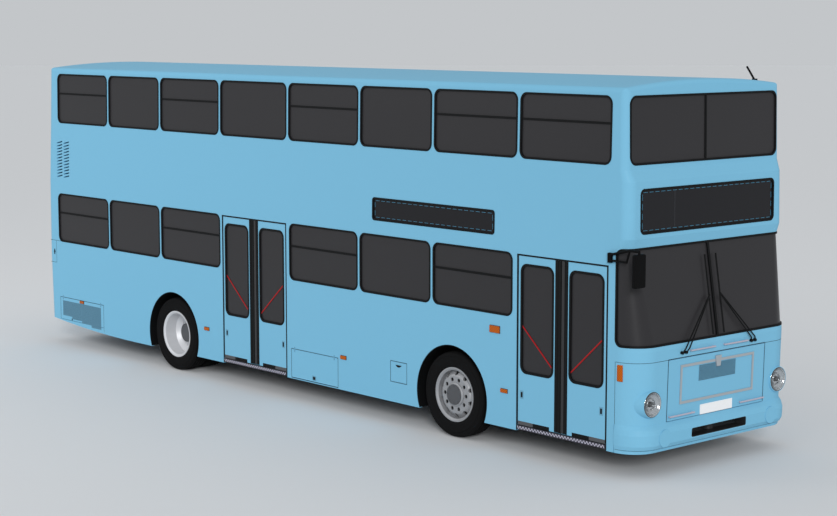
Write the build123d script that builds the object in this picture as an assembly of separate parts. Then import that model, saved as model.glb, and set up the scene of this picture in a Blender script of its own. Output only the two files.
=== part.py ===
from build123d import *
import math
import os

os.makedirs("parts", exist_ok=True)

# City double decker bus. Millimetres. +X forwards, +Y left, +Z up, z = 0 is the ground.
# The origin is on the ground under the middle of the bus. Doors are on the right side, at -Y.

# Body hull. Plan outlines at rising levels:
# level, front face x, front corner radius, half width, rear face x
HULL_LEVELS = (
    (257, 5585, 280, 1250, -5602),
    (1300, 5612, 280, 1250, -5640),
    (2337, 5440, 130, 1250, -5626),
    (2430, 5462, 110, 1248.5, -5622),
    (3000, 5456, 110, 1240, -5598),
    (3120, 5402, 80, 1238, -5592),
    (4060, 5385, 80, 1224, -5560),
)
rear_corner = 80
wall = 45
skirt_z = HULL_LEVELS[0][0]

# Roof section: crown height, level and radius of the edge over the windows, half width there
crown_z = 4005
roof_edge_z = 3885
roof_edge_r = 55
roof_half = 1226.5
roof_end_r = 50
roof_end_front = 5386
roof_end_rear = -5561

# Seams between the body panels
front_seam = 5300
rear_seam = -5446
roof_seam_z = 3880
tail_lift = 106
tail_lift_start = -3500

# Side windows: levels, corner radius, width of the rubber, depth of the glass in its rubber
upper_window_z = (3162, 3857)
lower_window_z = (1472, 2165)
window_corner = 90
rubber_width = 22
rubber_proud = 4
rubber_depth = 30
glass_depth = 12
glass_thick = 6
pillar = 34
transom_share = 0.4
transom_bar = 24

# Rows of slots of the engine's air outlet, high on the right side: x, levels, slots in a row
OUTLET_COLUMNS = ((-5385, -5237), (-5206, -5058))
outlet_z = (2399, 2920)
outlet_slots = 12
outlet_slot = 18
outlet_rise = 30

# Pillar centres of each row of windows, from the rear
UPPER_PILLARS = (-5366, -4037, -2784, -1442, -47, 1300, 2564, 3900, 5230)
LEFT_PILLARS = (-5385, -4030, -2784, -1432, -47, 1300, 2564, 3880, 5210)
RIGHT_REAR_PILLARS = (-5385, -4030, -2784, -1418)
RIGHT_FRONT_PILLARS = (-29, 1300, 2561, 3857)

# Windscreen and the windows and boxes of the front and rear walls: half width, levels
screen_z = (1343, 2337)
screen_corner = 80
screen_divider = 30
front_window = (1173, 3162, 3857)
front_sign = (1073, 2470, 2930)
front_sign_corner = 60
rear_window = (960, 3162, 3830)
side_sign_x = (1543, 3560)
side_sign_z = (2325, 2591)

# Front mask, hatches and headlamps
mask_bottom = 548
hatch_half = 779
hatch_z = (548, 1190)
hatch_gap = 6
hatch_thick = 30
engine_hatch_half = 930
engine_hatch_z = (480, 1440)
lamp_y = 1020
lamp_z = 764
lamp_r = 118
lamp_ring_r = 137
lamp_face_x = 5614
lamp_recess = 40
lamp_bowl_back = 5380
lamp_bowl_back_r = 188

# Doorways: edges along X, top, and the leaf in them
DOORWAYS = ((-1392, -72), (3909, 5201))
door_top = 2155
leaf_top_gap = 14
leaf_bottom = 326
leaf_thick = 40
leaf_gap = 12
leaf_meeting_gap = 6
leaf_window_z = (889, 2056)
leaf_window_edges = (42, 110)
leaf_window_corner = 85

# Swing gear of a leaf: the post stands behind the edge of the doorway, and its arm carries
# the middle of the leaf, so that the closing edge stays in the doorway as the leaf swings in
post_back = 35
post_inset = 50
post_r = 18
arm_thick = 10
arm_width = 34
arm_gap = 7
door_pin_r = 9

# Running gear
tyre_r = 482
tyre_width = 270
twin_gap = 30
rim_seat_r = 286
axle_z = tyre_r
front_axle_x = 2885
rear_axle_x = -2515
outer_wheel_y = 1087
arch_r = 572
arch_z = 472
arch_box_r = 590
stud_circle_r = 170
stud_count = 10
stud_hole_r = 22
hand_hole_circle_r = 240
hand_hole_r = 26
kingpin_y = 960
spindle_r = 35
running_gap = 1
tie_arm = 150
tie_rod_z = 305
tie_pin_r = 12
kingpin_r = 23
kingpin_boss_r = 46
stub_r = 55

# Chassis and floors
rail_y = (310, 380)
rail_z = (400, 540)
floor_z = 580
floor_thick = 40
rear_floor_z = 1100
rear_floor_x = -3650
floor_rear = -5540
step_z = (300, 440)
step_depth = (380, 700)
well_overrun = 115
sill_z = (270, 318)
front_box_near = 400
rear_box_near = 612
sheet = 20
board_gap = 1
upper_floor_z = 2310
upper_floor_thick = 60

# Stair over the left front wheel box, with the opening over it
stair_start = 3700
stair_rise = 216
stair_run = 205
stair_steps = 8
stair_y = (640, 1190)
stair_hole_x = (2055, 3330)

# Seats: width of a pair from the aisle, and the rows by the foot of the backrest
seat_pair_y = (260, 1100)
LEFT_LOWER_ROWS = (-5380, -4600, -1750, -970, -190, 590, 1370)
RIGHT_LOWER_ROWS = (-5380, -4600, 330, 1110, 1790)
upper_row_start = -5250
upper_row_pitch = 780
upper_row_count = 13
POLES = ((-1640, -235), (180, -235), (-900, 235), (1300, 235), (3650, -420), (3800, 560))

# Bumper slot, tow jaw and lamps
bumper_slot_half = 443
bumper_disc_y = 859
bumper_disc_z = 400
bumper_disc_r = 90
bumper_slot_z = (352, 447)
tow_x = 5490
tow_jaw_z = (360, 440)
tow_pin_r = 20
lens_r = 320
# Side lamps of both sides: x, z, length, height
SIDE_LAMPS = ((-1755, 651, 100, 40), (1016, 650, 100, 40), (3722, 656, 100, 40), (3575, 1308, 150, 74))
corner_lamp_x = (5329, 5418)
corner_lamp_z = (996, 1165)
TAIL_LAMP_LEVELS = ((700, 820), (830, 950), (960, 1080))

LEFT, RIGHT = 1, -1
SIDES = (("left", LEFT), ("right", RIGHT))


# Helpers

def block(x, y, z):
    centre = Pos((x[0] + x[1]) / 2, (y[0] + y[1]) / 2, (z[0] + z[1]) / 2)
    return centre * Box(abs(x[1] - x[0]), abs(y[1] - y[0]), abs(z[1] - z[0]))


def rod(start, end, radius):
    start, end = Vector(*start), Vector(*end)
    run = end - start
    base = (Align.CENTER, Align.CENTER, Align.MIN)
    return Plane(origin=start, z_dir=run) * Cylinder(radius, run.length, align=base)


def bent_rod(points, radius):
    """A tube through points, with a ball at each bend."""
    pieces = [rod(a, b, radius) for a, b in zip(points, points[1:])]
    pieces += [Pos(*p) * Sphere(radius) for p in points[1:-1]]
    return fuse_all(pieces)


def fuse_all(pieces):
    pieces = list(pieces)
    return pieces[0] + pieces[1:] if len(pieces) > 1 else pieces[0]


def gather(shapes):
    """Separate solids that go in one piece's file."""
    return Compound(children=[solid for shape in shapes for solid in shape.solids()])


def side_panel(x, z, radius, y):
    """A rounded rectangle seen from the side, from y[0] to y[1]."""
    low, high = min(y), max(y)
    plane = Plane(origin=((x[0] + x[1]) / 2, high, (z[0] + z[1]) / 2), x_dir=(1, 0, 0), z_dir=(0, -1, 0))
    return extrude(plane * RectangleRounded(x[1] - x[0], z[1] - z[0], radius), high - low)


def front_panel(half, z, radius, x):
    """A rounded rectangle seen from the front, from x[0] to x[1]."""
    plane = Plane(origin=(min(x), 0, (z[0] + z[1]) / 2), x_dir=(0, 1, 0), z_dir=(1, 0, 0))
    return extrude(plane * RectangleRounded(2 * half, z[1] - z[0], radius), abs(x[1] - x[0]))


def across(x, z, radius, y):
    """A cylinder along Y."""
    return rod((x, min(y), z), (x, max(y), z), radius)


def save(name, shape):
    shape = Compound(children=list(shape.solids())) if len(shape.solids()) > 1 else shape.solids()[0]
    export_step(shape, f"parts/{name}.step")


# Hull: the body's outer form, and the same form any distance inside it. Between the seams it
# is one straight section, and at the front and rear it is lofted round the corners.

def crown_curve(inset):
    """The roof line and its two rounded edges, at a distance inside the roof."""
    edge_y = roof_half - roof_edge_r
    rise = crown_z - roof_edge_z
    roof_r = (edge_y ** 2 + rise ** 2 - roof_edge_r ** 2) / (2 * (rise - roof_edge_r))
    middle = crown_z - roof_r
    turn = math.degrees(math.atan2(roof_edge_z - middle, edge_y))
    return [
        CenterArc((edge_y, roof_edge_z), roof_edge_r - inset, 0, turn),
        CenterArc((0, middle), roof_r - inset, turn, 180 - 2 * turn),
        CenterArc((-edge_y, roof_edge_z), roof_edge_r - inset, 180 - turn, turn),
    ]


def section(inset, drop=0):
    """Cross section of the body between the seams."""
    left = [(level[3] - inset, level[0]) for level in HULL_LEVELS[1:-1]]
    left.insert(0, (HULL_LEVELS[0][3] - inset, skirt_z - drop))
    left.append((roof_half - inset, roof_edge_z))
    right = [(-y, z) for y, z in reversed(left)]
    sides = Polyline(*right) + Polyline(*left)
    foot = Line(right[-1], left[0])
    return make_face(crown_curve(inset) + list(sides.edges()) + [foot])


def middle_hull(inset, drop=0):
    return extrude(Plane.YZ.offset(rear_seam) * section(inset, drop), front_seam - rear_seam)


def crown_outline(inset):
    """Cross section that shapes only the roof: it flares below the roof's edges."""
    flare_half, flare_z, foot = 1330, 2000, -200
    half = roof_half - inset
    flare = Polyline((-half, roof_edge_z), (-flare_half, flare_z), (-flare_half, foot),
                     (flare_half, foot), (flare_half, flare_z), (half, roof_edge_z))
    return make_face(crown_curve(inset) + list(flare.edges()))


def end_crown(end, inset):
    """The roof at one end. Outside, it is drawn in as a quarter round in short bands."""
    tip, seam, way = (roof_end_front, front_seam, 1) if end == "front" else (roof_end_rear, rear_seam, -1)
    if inset > 0:
        return extrude(Plane.YZ.offset(seam) * crown_outline(inset), way * 400)
    stations = [(seam, inset)]
    for angle in (90, 67.5, 45, 22.5, 0):
        reach = roof_end_r * (1 - math.cos(math.radians(angle)))
        drawn = roof_end_r * (1 - math.sin(math.radians(angle)))
        stations.append((tip - way * reach, inset + drawn))
    stations.append((tip + way * 300, inset + roof_end_r))
    if way < 0:
        stations.reverse()
    return loft([Plane.YZ.offset(x) * crown_outline(i) for x, i in stations], ruled=True)


def end_outline(end, level, inset, drop=0):
    """Plan of one end of the body, from its seam round both corners."""
    z, front, front_corner, half, rear = level
    half -= inset
    if end == "front":
        tip, seam, way, corner = front - inset, front_seam, 1, front_corner - inset
    else:
        tip, seam, way, corner = rear + inset, rear_seam, -1, rear_corner - inset
    turn = tip - way * corner
    edges = [
        Line((seam, -half), (turn, -half)),
        CenterArc((turn, -half + corner), corner, -90, way * 90),
        Line((tip, -half + corner), (tip, half - corner)),
        CenterArc((turn, half - corner), corner, 90 - way * 90, way * 90),
        Line((turn, half), (seam, half)),
        Line((seam, half), (seam, -half)),
    ]
    return Pos(0, 0, z - drop) * make_face(edges)


def end_hull(end, inset, drop=0):
    outlines = [end_outline(end, HULL_LEVELS[0], inset, drop)]
    outlines += [end_outline(end, level, inset) for level in HULL_LEVELS[1:]]
    return loft(outlines, ruled=True) & end_crown(end, inset)


def skin(hull, outside, inside):
    """A layer of a hull between two depths below its surface."""
    return hull(outside) - hull(inside, 60)


def front_hull(inset, drop=0):
    return end_hull("front", inset, drop)


def rear_hull(inset, drop=0):
    return end_hull("rear", inset, drop)


middle_shell = skin(middle_hull, 0, wall)
front_shell = skin(front_hull, 0, wall)
rear_shell = skin(rear_hull, 0, wall)
rubber_layer = (-rubber_proud, rubber_depth)
glass_layer = (glass_depth, glass_depth + glass_thick)
side_rubber_skin = skin(middle_hull, *rubber_layer)
side_glass_skin = skin(middle_hull, *glass_layer)
front_rubber_skin = skin(front_hull, *rubber_layer)
front_glass_skin = skin(front_hull, *glass_layer)
rear_rubber_skin = skin(rear_hull, *rubber_layer)
rear_glass_skin = skin(rear_hull, *glass_layer)

# Rear overhang: the skirt rises in one long curve
tail_x = -5640
tail_curve = ThreePointArc(
    (tail_lift_start, skirt_z),
    ((tail_lift_start + tail_x) / 2, skirt_z + tail_lift / 4),
    (tail_x, skirt_z + tail_lift),
)
tail_under = Polyline((tail_x, skirt_z + tail_lift), (tail_x - 60, skirt_z + tail_lift),
                      (tail_x - 60, 0), (tail_lift_start, 0), (tail_lift_start, skirt_z))
tail_cut = extrude(Plane.XZ * make_face(tail_curve.edges() + tail_under.edges()), 1400, both=True)


# Windows of the sides

def bays(pillars, z):
    """Window openings between neighbouring pillars."""
    return [((a + pillar / 2, b - pillar / 2), z) for a, b in zip(pillars, pillars[1:])]


RIGHT_WINDOWS = (
    bays(UPPER_PILLARS, upper_window_z)
    + bays(RIGHT_REAR_PILLARS, lower_window_z)
    + bays(RIGHT_FRONT_PILLARS, lower_window_z)
)
LEFT_WINDOWS = bays(UPPER_PILLARS, upper_window_z) + bays(LEFT_PILLARS, lower_window_z)

# Windows with a hinged upper part, by their number in the lists above
RIGHT_TRANSOMS = (0, 2, 4, 6, 7, 8, 10, 11, 13)
LEFT_TRANSOMS = (0, 2, 4, 6, 7, 8, 10, 12, 14)


def window_cuts(windows, side, inset=0):
    y = (side * 1150, side * 1300)
    cuts = []
    for x, z in windows:
        x_in = (x[0] + inset, x[1] - inset)
        z_in = (z[0] + inset, z[1] - inset)
        cuts.append(side_panel(x_in, z_in, window_corner - inset, y))
    return Compound(children=cuts)


# Flaps of the right side: name, x, z
FLAPS = (
    ("battery_flap", (15, 912), (272, 630)),
    ("filler_flap", (1861, 2144), (490, 733)),
    ("radiator_flap", (-5366, -4227), (352, 675)),
)
flap_gap = 6
flap_thick = 22


def flap_opening(x, z, gap=0):
    y = (-1300, -1150)
    return side_panel((x[0] + gap, x[1] - gap), (z[0] + gap, z[1] - gap), 12, y)


# Side walls
def side_wall(side, windows):
    panel = middle_shell & block((rear_seam, front_seam), (0, side * 1400), (0, roof_seam_z))
    panel = panel - tail_cut - window_cuts(windows, side)
    for x in (front_axle_x, rear_axle_x):
        panel -= across(x, arch_z, arch_r, (side * 1100, side * 1400))
    return panel


right_wall = side_wall(RIGHT, RIGHT_WINDOWS)
for edges in DOORWAYS:
    right_wall -= block(edges, (-1400, -1100), (0, door_top))
for name, x, z in FLAPS:
    right_wall -= flap_opening(x, z)
side_sign_cut = side_panel(side_sign_x, side_sign_z, 40, (-1400, -1100))
right_wall -= side_sign_cut
outlet_pitch = (outlet_z[1] - outlet_z[0]) / outlet_slots
outlet_cuts = []
for x in OUTLET_COLUMNS:
    for i in range(outlet_slots):
        z = outlet_z[0] + (i + 0.5) * outlet_pitch
        corners = ((x[0], z - outlet_rise / 2), (x[1], z + outlet_rise / 2),
                   (x[1], z + outlet_rise / 2 - outlet_slot), (x[0], z - outlet_rise / 2 - outlet_slot))
        face = make_face(Polyline(*corners, close=True))
        outlet_cuts.append(extrude(Plane.XZ.offset(1150) * face, 150))
right_wall -= gather(outlet_cuts)
save("side_wall_right", right_wall)
save("side_wall_left", side_wall(LEFT, LEFT_WINDOWS))

# Roof between the front and rear domes
save("roof", middle_shell & block((rear_seam, front_seam), (-1400, 1400), (roof_seam_z, 4200)))

# Front: the windscreen wraps round both corners, between the mask below and the dome above
screen_cut = side_panel((front_seam, 6200), screen_z, screen_corner, (-1400, 1400))
mask_split_z = (screen_z[0] + screen_z[1]) / 2
lamp_bowls = []
lamp_recesses = []
for name, side in SIDES:
    y = side * lamp_y
    bowl_plane = Plane(origin=(lamp_bowl_back, y, lamp_z), z_dir=(1, 0, 0))
    bowl_base = (Align.CENTER, Align.CENTER, Align.MIN)
    bowl = bowl_plane * Cone(lamp_bowl_back_r, lamp_ring_r, lamp_face_x - lamp_bowl_back, align=bowl_base)
    lamp_bowls.append(bowl)
    lamp_recesses.append(rod((lamp_face_x - lamp_recess, y, lamp_z), (5700, y, lamp_z), lamp_r))
mask = (front_shell & block((0, 6000), (-1400, 1400), (mask_bottom, mask_split_z))) - screen_cut
mask -= block((5400, 5700), (-hatch_half, hatch_half), hatch_z)
mask = fuse_all([mask] + [bowl - front_hull(wall, 60) for bowl in lamp_bowls])
for recess in lamp_recesses:
    mask -= recess
seam_layer = skin(front_hull, -5, 4)
mask -= seam_layer & block((5300, 5700), (-1300, -hatch_half), (hatch_z[1] - 2, hatch_z[1] + 2))
mask -= seam_layer & block((5300, 5700), (hatch_half, 1300), (hatch_z[1] - 2, hatch_z[1] + 2))
save("front_mask", mask)

dome = (front_shell & block((0, 6000), (-1400, 1400), (mask_split_z, 4200))) - screen_cut
dome -= front_panel(front_window[0], front_window[1:], window_corner, (5320, 5600))
dome -= front_panel(front_sign[0], front_sign[1:], front_sign_corner, (5320, 5600))
save("front_dome", dome)


def lid(skin_layer, half, z, x, gap):
    """A lid cut from the skin of the body, with a gap all round."""
    return skin_layer & block(x, (-half + gap, half - gap), (z[0] + gap, z[1] - gap))


save("front_hatch", lid(skin(front_hull, 0, hatch_thick), hatch_half, hatch_z, (5400, 5700), hatch_gap))

# Rear wall with its dome, window and engine hatch
rear_wall = rear_shell - tail_cut
rear_wall -= front_panel(rear_window[0], rear_window[1:], window_corner, (-5700, -5550))
rear_wall -= block((-5700, -5550), (-engine_hatch_half, engine_hatch_half), engine_hatch_z)
save("rear_wall", rear_wall)
engine_lid_skin = skin(rear_hull, 0, hatch_thick)
save("engine_hatch", lid(engine_lid_skin, engine_hatch_half, engine_hatch_z, (-5700, -5550), hatch_gap))

# Side flaps
flap_skin = skin(middle_hull, 0, flap_thick)
for name, x, z in FLAPS:
    save(name, flap_skin & flap_opening(x, z, flap_gap))

# Glass and its rubbers
panes = []
rubbers = []
bar_skin = skin(middle_hull, 2, glass_depth - 0.5)
front_bar_skin = skin(front_hull, 2, glass_depth - 0.5)
for windows, transoms, side in ((RIGHT_WINDOWS, RIGHT_TRANSOMS, RIGHT), (LEFT_WINDOWS, LEFT_TRANSOMS, LEFT)):
    holes, openings = window_cuts(windows, side), window_cuts(windows, side, rubber_width)
    panes.append(side_glass_skin & openings)
    frames = (side_rubber_skin & holes) - openings
    bars = []
    for number in transoms:
        (start, end), (low, high) = windows[number]
        middle = high - transom_share * (high - low)
        bars.append(block((start + rubber_width - 2, end - rubber_width + 2), (side * 1150, side * 1300),
                          (middle - transom_bar / 2, middle + transom_bar / 2)))
    rubbers.append(frames + (bar_skin & gather(bars)))

END_WINDOWS = (
    (front_window, window_corner, (5320, 5600), front_glass_skin, front_rubber_skin),
    (front_sign, front_sign_corner, (5320, 5600), front_glass_skin, front_rubber_skin),
    (rear_window, window_corner, (-5700, -5550), rear_glass_skin, rear_rubber_skin),
)
for (half, low, high), corner, x, glass_skin, rubber_skin in END_WINDOWS:
    hole = front_panel(half, (low, high), corner, x)
    inset_z = (low + rubber_width, high - rubber_width)
    opening = front_panel(half - rubber_width, inset_z, corner - rubber_width, x)
    panes.append(glass_skin & opening)
    rubber = (rubber_skin & hole) - opening
    if half == front_window[0]:
        bar_z = (inset_z[0] - 2, inset_z[1] + 2)
        rubber += front_bar_skin & block(x, (-transom_bar / 2, transom_bar / 2), bar_z)
    rubbers.append(rubber)
sign_opening = side_panel((side_sign_x[0] + rubber_width, side_sign_x[1] - rubber_width),
                          (side_sign_z[0] + rubber_width, side_sign_z[1] - rubber_width), 18, (-1400, -1100))
panes.append(side_glass_skin & sign_opening)
rubbers.append((side_rubber_skin & side_sign_cut) - sign_opening)

screen_opening = side_panel((front_seam + rubber_width, 6200),
                            (screen_z[0] + rubber_width, screen_z[1] - rubber_width),
                            screen_corner - rubber_width, (-1400, 1400))
divider = block((5320, 5700), (-screen_divider / 2, screen_divider / 2), screen_z)
rubbers.append((front_rubber_skin & screen_cut) - screen_opening)
rubbers.append(front_rubber_skin & screen_opening & divider)
save("windscreen", (front_glass_skin & screen_opening) - divider)
save("deck_glass", gather(panes))
save("window_rubbers", gather(rubbers))

# Doors. A leaf and its arm are drawn at the rear edge of a doorway, at x = 0, and turned round
# for the leaf at the front edge.
leaf_y = (-1247, -1247 + leaf_thick)
leaf_top = door_top - leaf_top_gap
post_y = sum(leaf_y) / 2 + post_inset
arm_levels = (leaf_bottom - arm_gap - arm_thick, leaf_top + arm_gap)


def door_leaf(length, pivot):
    """A leaf with an ear and a pin at top and bottom, at the pivot of its arm."""
    leaf = block((leaf_gap, leaf_gap + length), leaf_y, (leaf_bottom, leaf_top))
    window_x = (leaf_gap + leaf_window_edges[0], leaf_gap + length - leaf_window_edges[1])
    leaf -= side_panel(window_x, leaf_window_z, leaf_window_corner, (-1300, -1100))
    for z, way in ((leaf_bottom, -1), (leaf_top, 1)):
        root = z - way * 20
        leaf += block((pivot - arm_width / 2, pivot + arm_width / 2), (leaf_y[1], post_y), (root, z))
        leaf += rod((pivot, post_y, min(z, root)), (pivot, post_y, max(z, root)), arm_width / 2)
        tip = z + way * (arm_gap + arm_thick)
        leaf += rod((pivot, post_y, min(z, tip)), (pivot, post_y, max(z, tip)), door_pin_r)
    return leaf


def leaf_pane(length):
    window_x = (leaf_gap + leaf_window_edges[0], leaf_gap + length - leaf_window_edges[1])
    y = (leaf_y[0] + glass_depth, leaf_y[0] + glass_depth + glass_thick)
    return side_panel(window_x, leaf_window_z, leaf_window_corner, y)


def door_arm(pivot):
    """The post, with one arm under the leaf and one over it."""
    top = upper_floor_z - upper_floor_thick - 5
    arm = rod((-post_back, post_y, step_z[0] + 5), (-post_back, post_y, top), post_r)
    for z in arm_levels:
        bar = block((-post_back, pivot), (post_y - arm_width / 2, post_y + arm_width / 2), (z, z + arm_thick))
        bar += rod((pivot, post_y, z), (pivot, post_y, z + arm_thick), arm_width / 2)
        arm += bar - rod((pivot, post_y, z - 5), (pivot, post_y, z + arm_thick + 5), door_pin_r + running_gap)
    return arm


def placed(shape, edge, way):
    """Moved to a doorway's edge; way is -1 for its front edge."""
    if way < 0:
        shape = mirror(shape, about=Plane.YZ)
    return Pos(edge, 0, 0) * shape


for doorway, (low, high) in zip(("middle", "front"), DOORWAYS):
    length = (high - low - leaf_meeting_gap) / 2 - leaf_gap
    pivot = (leaf_gap + length - post_back) / 2
    for place, edge, way in (("rear", low, 1), ("fore", high, -1)):
        save(f"{doorway}_leaf_{place}", placed(door_leaf(length, pivot), edge, way))
        save(f"{doorway}_pane_{place}", placed(leaf_pane(length), edge, way))
        save(f"{doorway}_arm_{place}", placed(door_arm(pivot), edge, way))

# Floors. The lower floor carries the step wells inside the doorways and the wheel boxes.
inner_half = HULL_LEVELS[0][3] - wall
floor_bottom = floor_z - floor_thick
well_y = (-inner_half + 3, -inner_half + 3 + step_depth[1])
second_step_y = -inner_half + step_depth[0]


def wheel_box(x, near, side, radius, past=0):
    """Half round box over a wheel, from its inner end to the wall."""
    return across(x, arch_z, radius, (side * near, side * (inner_half + past)))


# Wheel boxes and step wells stand in gaps between the boards: how far each reaches along
# and towards the middle of the bus
BOXES = ((rear_axle_x, rear_box_near), (front_axle_x, front_box_near))
box_reach = arch_box_r + sheet
LEFT_GAPS = [(x - box_reach, x + box_reach, near - sheet) for x, near in BOXES]
RIGHT_GAPS = list(LEFT_GAPS)
floor_boxes = []
for x, near in BOXES:
    for name, side in SIDES:
        box = wheel_box(x, near - sheet, side, box_reach) - wheel_box(x, near, side, arch_box_r, 10)
        floor_boxes.append(box & block((-6000, 6000), (-1300, 1300), (floor_bottom, 2000)))
for low, high in DOORWAYS:
    tray_x = (low - well_overrun - sheet, high + well_overrun + sheet)
    hollow_x = (low - well_overrun, high + well_overrun)
    tray = block(tray_x, (well_y[0], well_y[1] + sheet), (step_z[0] - sheet, floor_z))
    tray -= block(hollow_x, (-1400, well_y[1]), (step_z[0], floor_z + 10))
    tray += block((low + 150, high - 150), (second_step_y, well_y[1]), (step_z[0], step_z[1]))
    tray += block((low + 3, high - 3), (-1248, well_y[0]), (sill_z[0], sill_z[1]))
    floor_boxes.append(tray)
    RIGHT_GAPS.append((tray_x[0], tray_x[1], -well_y[1] - sheet))
save("floor_boxes", gather(floor_boxes))

# Floor boards: one along the middle of the frame, and shorter ones beside it
rail_middle = (rail_y[0] + rail_y[1]) / 2
board_z = (floor_bottom, floor_z)
nose_x = front_seam - 10
boards = [block((rear_floor_x + board_gap, 5500), (-rail_middle, rail_middle), board_z)]
for side, gaps in ((LEFT, LEFT_GAPS), (RIGHT, RIGHT_GAPS)):
    near_y = side * (rail_middle + board_gap)
    start = rear_floor_x
    for low, high, near in sorted(gaps):
        boards.append(block((start + board_gap, low - board_gap), (near_y, side * inner_half), board_z))
        boards.append(block((low, high), (near_y, side * (near - board_gap)), board_z))
        start = high
    if start < nose_x:
        boards.append(block((start + board_gap, nose_x), (near_y, side * inner_half), board_z))
        start = nose_x
    boards.append(block((start + board_gap, 5500), (near_y, side * 900), board_z))

# Raised floor over the engine, and the panel that closes its front
raised_z = (rear_floor_z - floor_thick, rear_floor_z)
boards.append(block((floor_rear, rear_floor_x - sheet - board_gap), (-inner_half, inner_half), raised_z))
panel_x = (rear_floor_x - sheet, rear_floor_x)
boards.append(block(panel_x, (-inner_half, inner_half), (floor_bottom, rear_floor_z)))
save("lower_floor", gather(boards))

upper_bottom = upper_floor_z - upper_floor_thick
upper_floor = block((floor_rear, front_seam), (-inner_half, inner_half), (upper_bottom, upper_floor_z))
upper_floor += block((front_seam, 5380), (-1050, 1050), (upper_bottom, upper_floor_z))
upper_floor -= block(stair_hole_x, (stair_y[0] - 20, stair_y[1]), (upper_bottom - 10, upper_floor_z + 10))
save("upper_floor", upper_floor)

# Chassis: two channels with cross members, outriggers under the floor and posts at the rear
channel_x = (-5480, 5440)
channel_web = 10
member_half = 40
jaw_root_x = 5400 + member_half
CROSS_MEMBERS = (-5400, -4700, -3900, -3200, -1850, -1000, 300, 1600, 2250, 3550, 4500, 5400)
LEFT_OUTRIGGERS = (-3400, -1600, -700, 0, 900, 1500, 2150, 3700, 4300, 4900)
RIGHT_OUTRIGGERS = (-3400, -1650, 300, 900, 1500, 2150, 3650)
rails = []
members = []
for name, side in SIDES:
    channel = block(channel_x, (side * rail_y[0], side * rail_y[1]), rail_z)
    channel -= block((-6000, 6000), (side * (rail_y[0] - 5), side * (rail_y[1] - channel_web)),
                     (rail_z[0] + channel_web, rail_z[1] - channel_web))
    rails.append(channel)
    for x in (-5400, -3900):
        members.append(block((x - member_half, x + member_half), (side * rail_y[0], side * rail_y[1]),
                             (rail_z[1], rear_floor_z - floor_thick)))
for x in CROSS_MEMBERS:
    web_half = rail_y[1] - channel_web
    members.append(block((x - member_half, x + member_half), (-web_half, web_half),
                         (rail_z[0] + channel_web, rail_z[0] + 60)))
for side, row in ((LEFT, LEFT_OUTRIGGERS), (RIGHT, RIGHT_OUTRIGGERS)):
    for x in row:
        outrigger_y = (side * rail_y[1], side * inner_half)
        members.append(block((x - 25, x + 25), outrigger_y, (rail_z[1] - 60, rail_z[1])))
save("cross_members", gather(members))

# Tow jaw behind the slot of the bumper, with an upright hole for the pin
jaw = block((jaw_root_x, tow_x), (-60, 60), tow_jaw_z)
jaw += rod((tow_x, 0, tow_jaw_z[0]), (tow_x, 0, tow_jaw_z[1]), 60)
jaw -= rod((tow_x, 0, 300), (tow_x, 0, 500), tow_pin_r)
jaw -= block((5300, jaw_root_x), (-100, 100), (300, 500))
save("chassis_rails", gather(rails + [jaw]))

# Engine, one block on the cross members of the rear overhang
save("engine", block((-5340, -3960), (-290, 290), (rail_z[0] + 60, 1000)))

# Front axle: a drop beam with an eye for each kingpin
FRONT_BEAM = ((0, 285), (760, 285), (900, 425), (kingpin_y, 425), (kingpin_y, 540), (880, 540), (720, 385))
eye_z = (425, 540)


def axle_beam(half_outline, x, thick):
    """A beam across the bus, from one half of its outline: y, z from the middle outwards and back."""
    points = list(half_outline) + [(-y, z) for y, z in reversed(half_outline) if y > 0]
    face = make_face(Polyline(*points, close=True))
    return extrude(Plane.YZ.offset(x - thick / 2) * face, thick)


front_axle = axle_beam(FRONT_BEAM, front_axle_x, 84)
for name, side in SIDES:
    y = side * kingpin_y
    front_axle += rod((front_axle_x, y, eye_z[0]), (front_axle_x, y, eye_z[1]), kingpin_boss_r)
    front_axle -= rod((front_axle_x, y, 200), (front_axle_x, y, 700), kingpin_r + running_gap)
    front_axle += block((front_axle_x - 60, front_axle_x + 60), (side * rail_y[0], side * rail_y[1]),
                        (370, rail_z[0]))


def knuckle(side):
    """Two ears on the kingpin, the spindle, and the steering arm with its pin."""
    x, y = front_axle_x, side * kingpin_y
    plate_y = (y + side * 55, y + side * 90)
    ears = ((tie_rod_z + 30, eye_z[0] - 3), (eye_z[1] + 3, eye_z[1] + 45))
    piece = rod((x, y, ears[0][0]), (x, y, ears[1][1]), kingpin_r)
    for low, high in ears:
        piece += rod((x, y, low), (x, y, high), kingpin_boss_r)
        piece += block((x - 40, x + 40), (y, plate_y[1]), (low, high))
    piece += block((x - 55, x + 55), plate_y, (ears[0][0], ears[1][1]))
    piece += across(x, axle_z, spindle_r, (plate_y[0], side * (outer_wheel_y + 75)))
    arm_z = ears[0][0] + 18
    piece += rod((x, y, arm_z), (x - tie_arm, y, arm_z), 18)
    piece += rod((x - tie_arm, y, tie_rod_z - 20), (x - tie_arm, y, arm_z), tie_pin_r)
    return piece + rod((x - tie_arm, y, ears[0][0]), (x - tie_arm, y, arm_z + 16), 18)


save("knuckle_left", knuckle(LEFT))
save("knuckle_right", knuckle(RIGHT))

# Tie rod behind the axle, with an eye on the pin of each steering arm
tie_x = front_axle_x - tie_arm
tie_rod = across(tie_x, tie_rod_z, 14, (-kingpin_y, kingpin_y))
for name, side in SIDES:
    y = side * kingpin_y
    tie_rod += rod((tie_x, y, tie_rod_z - 16), (tie_x, y, tie_rod_z + 16), 21)
for name, side in SIDES:
    tie_rod -= rod((tie_x, side * kingpin_y, 200), (tie_x, side * kingpin_y, 500), tie_pin_r + running_gap)
save("tie_rod", tie_rod)

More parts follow.
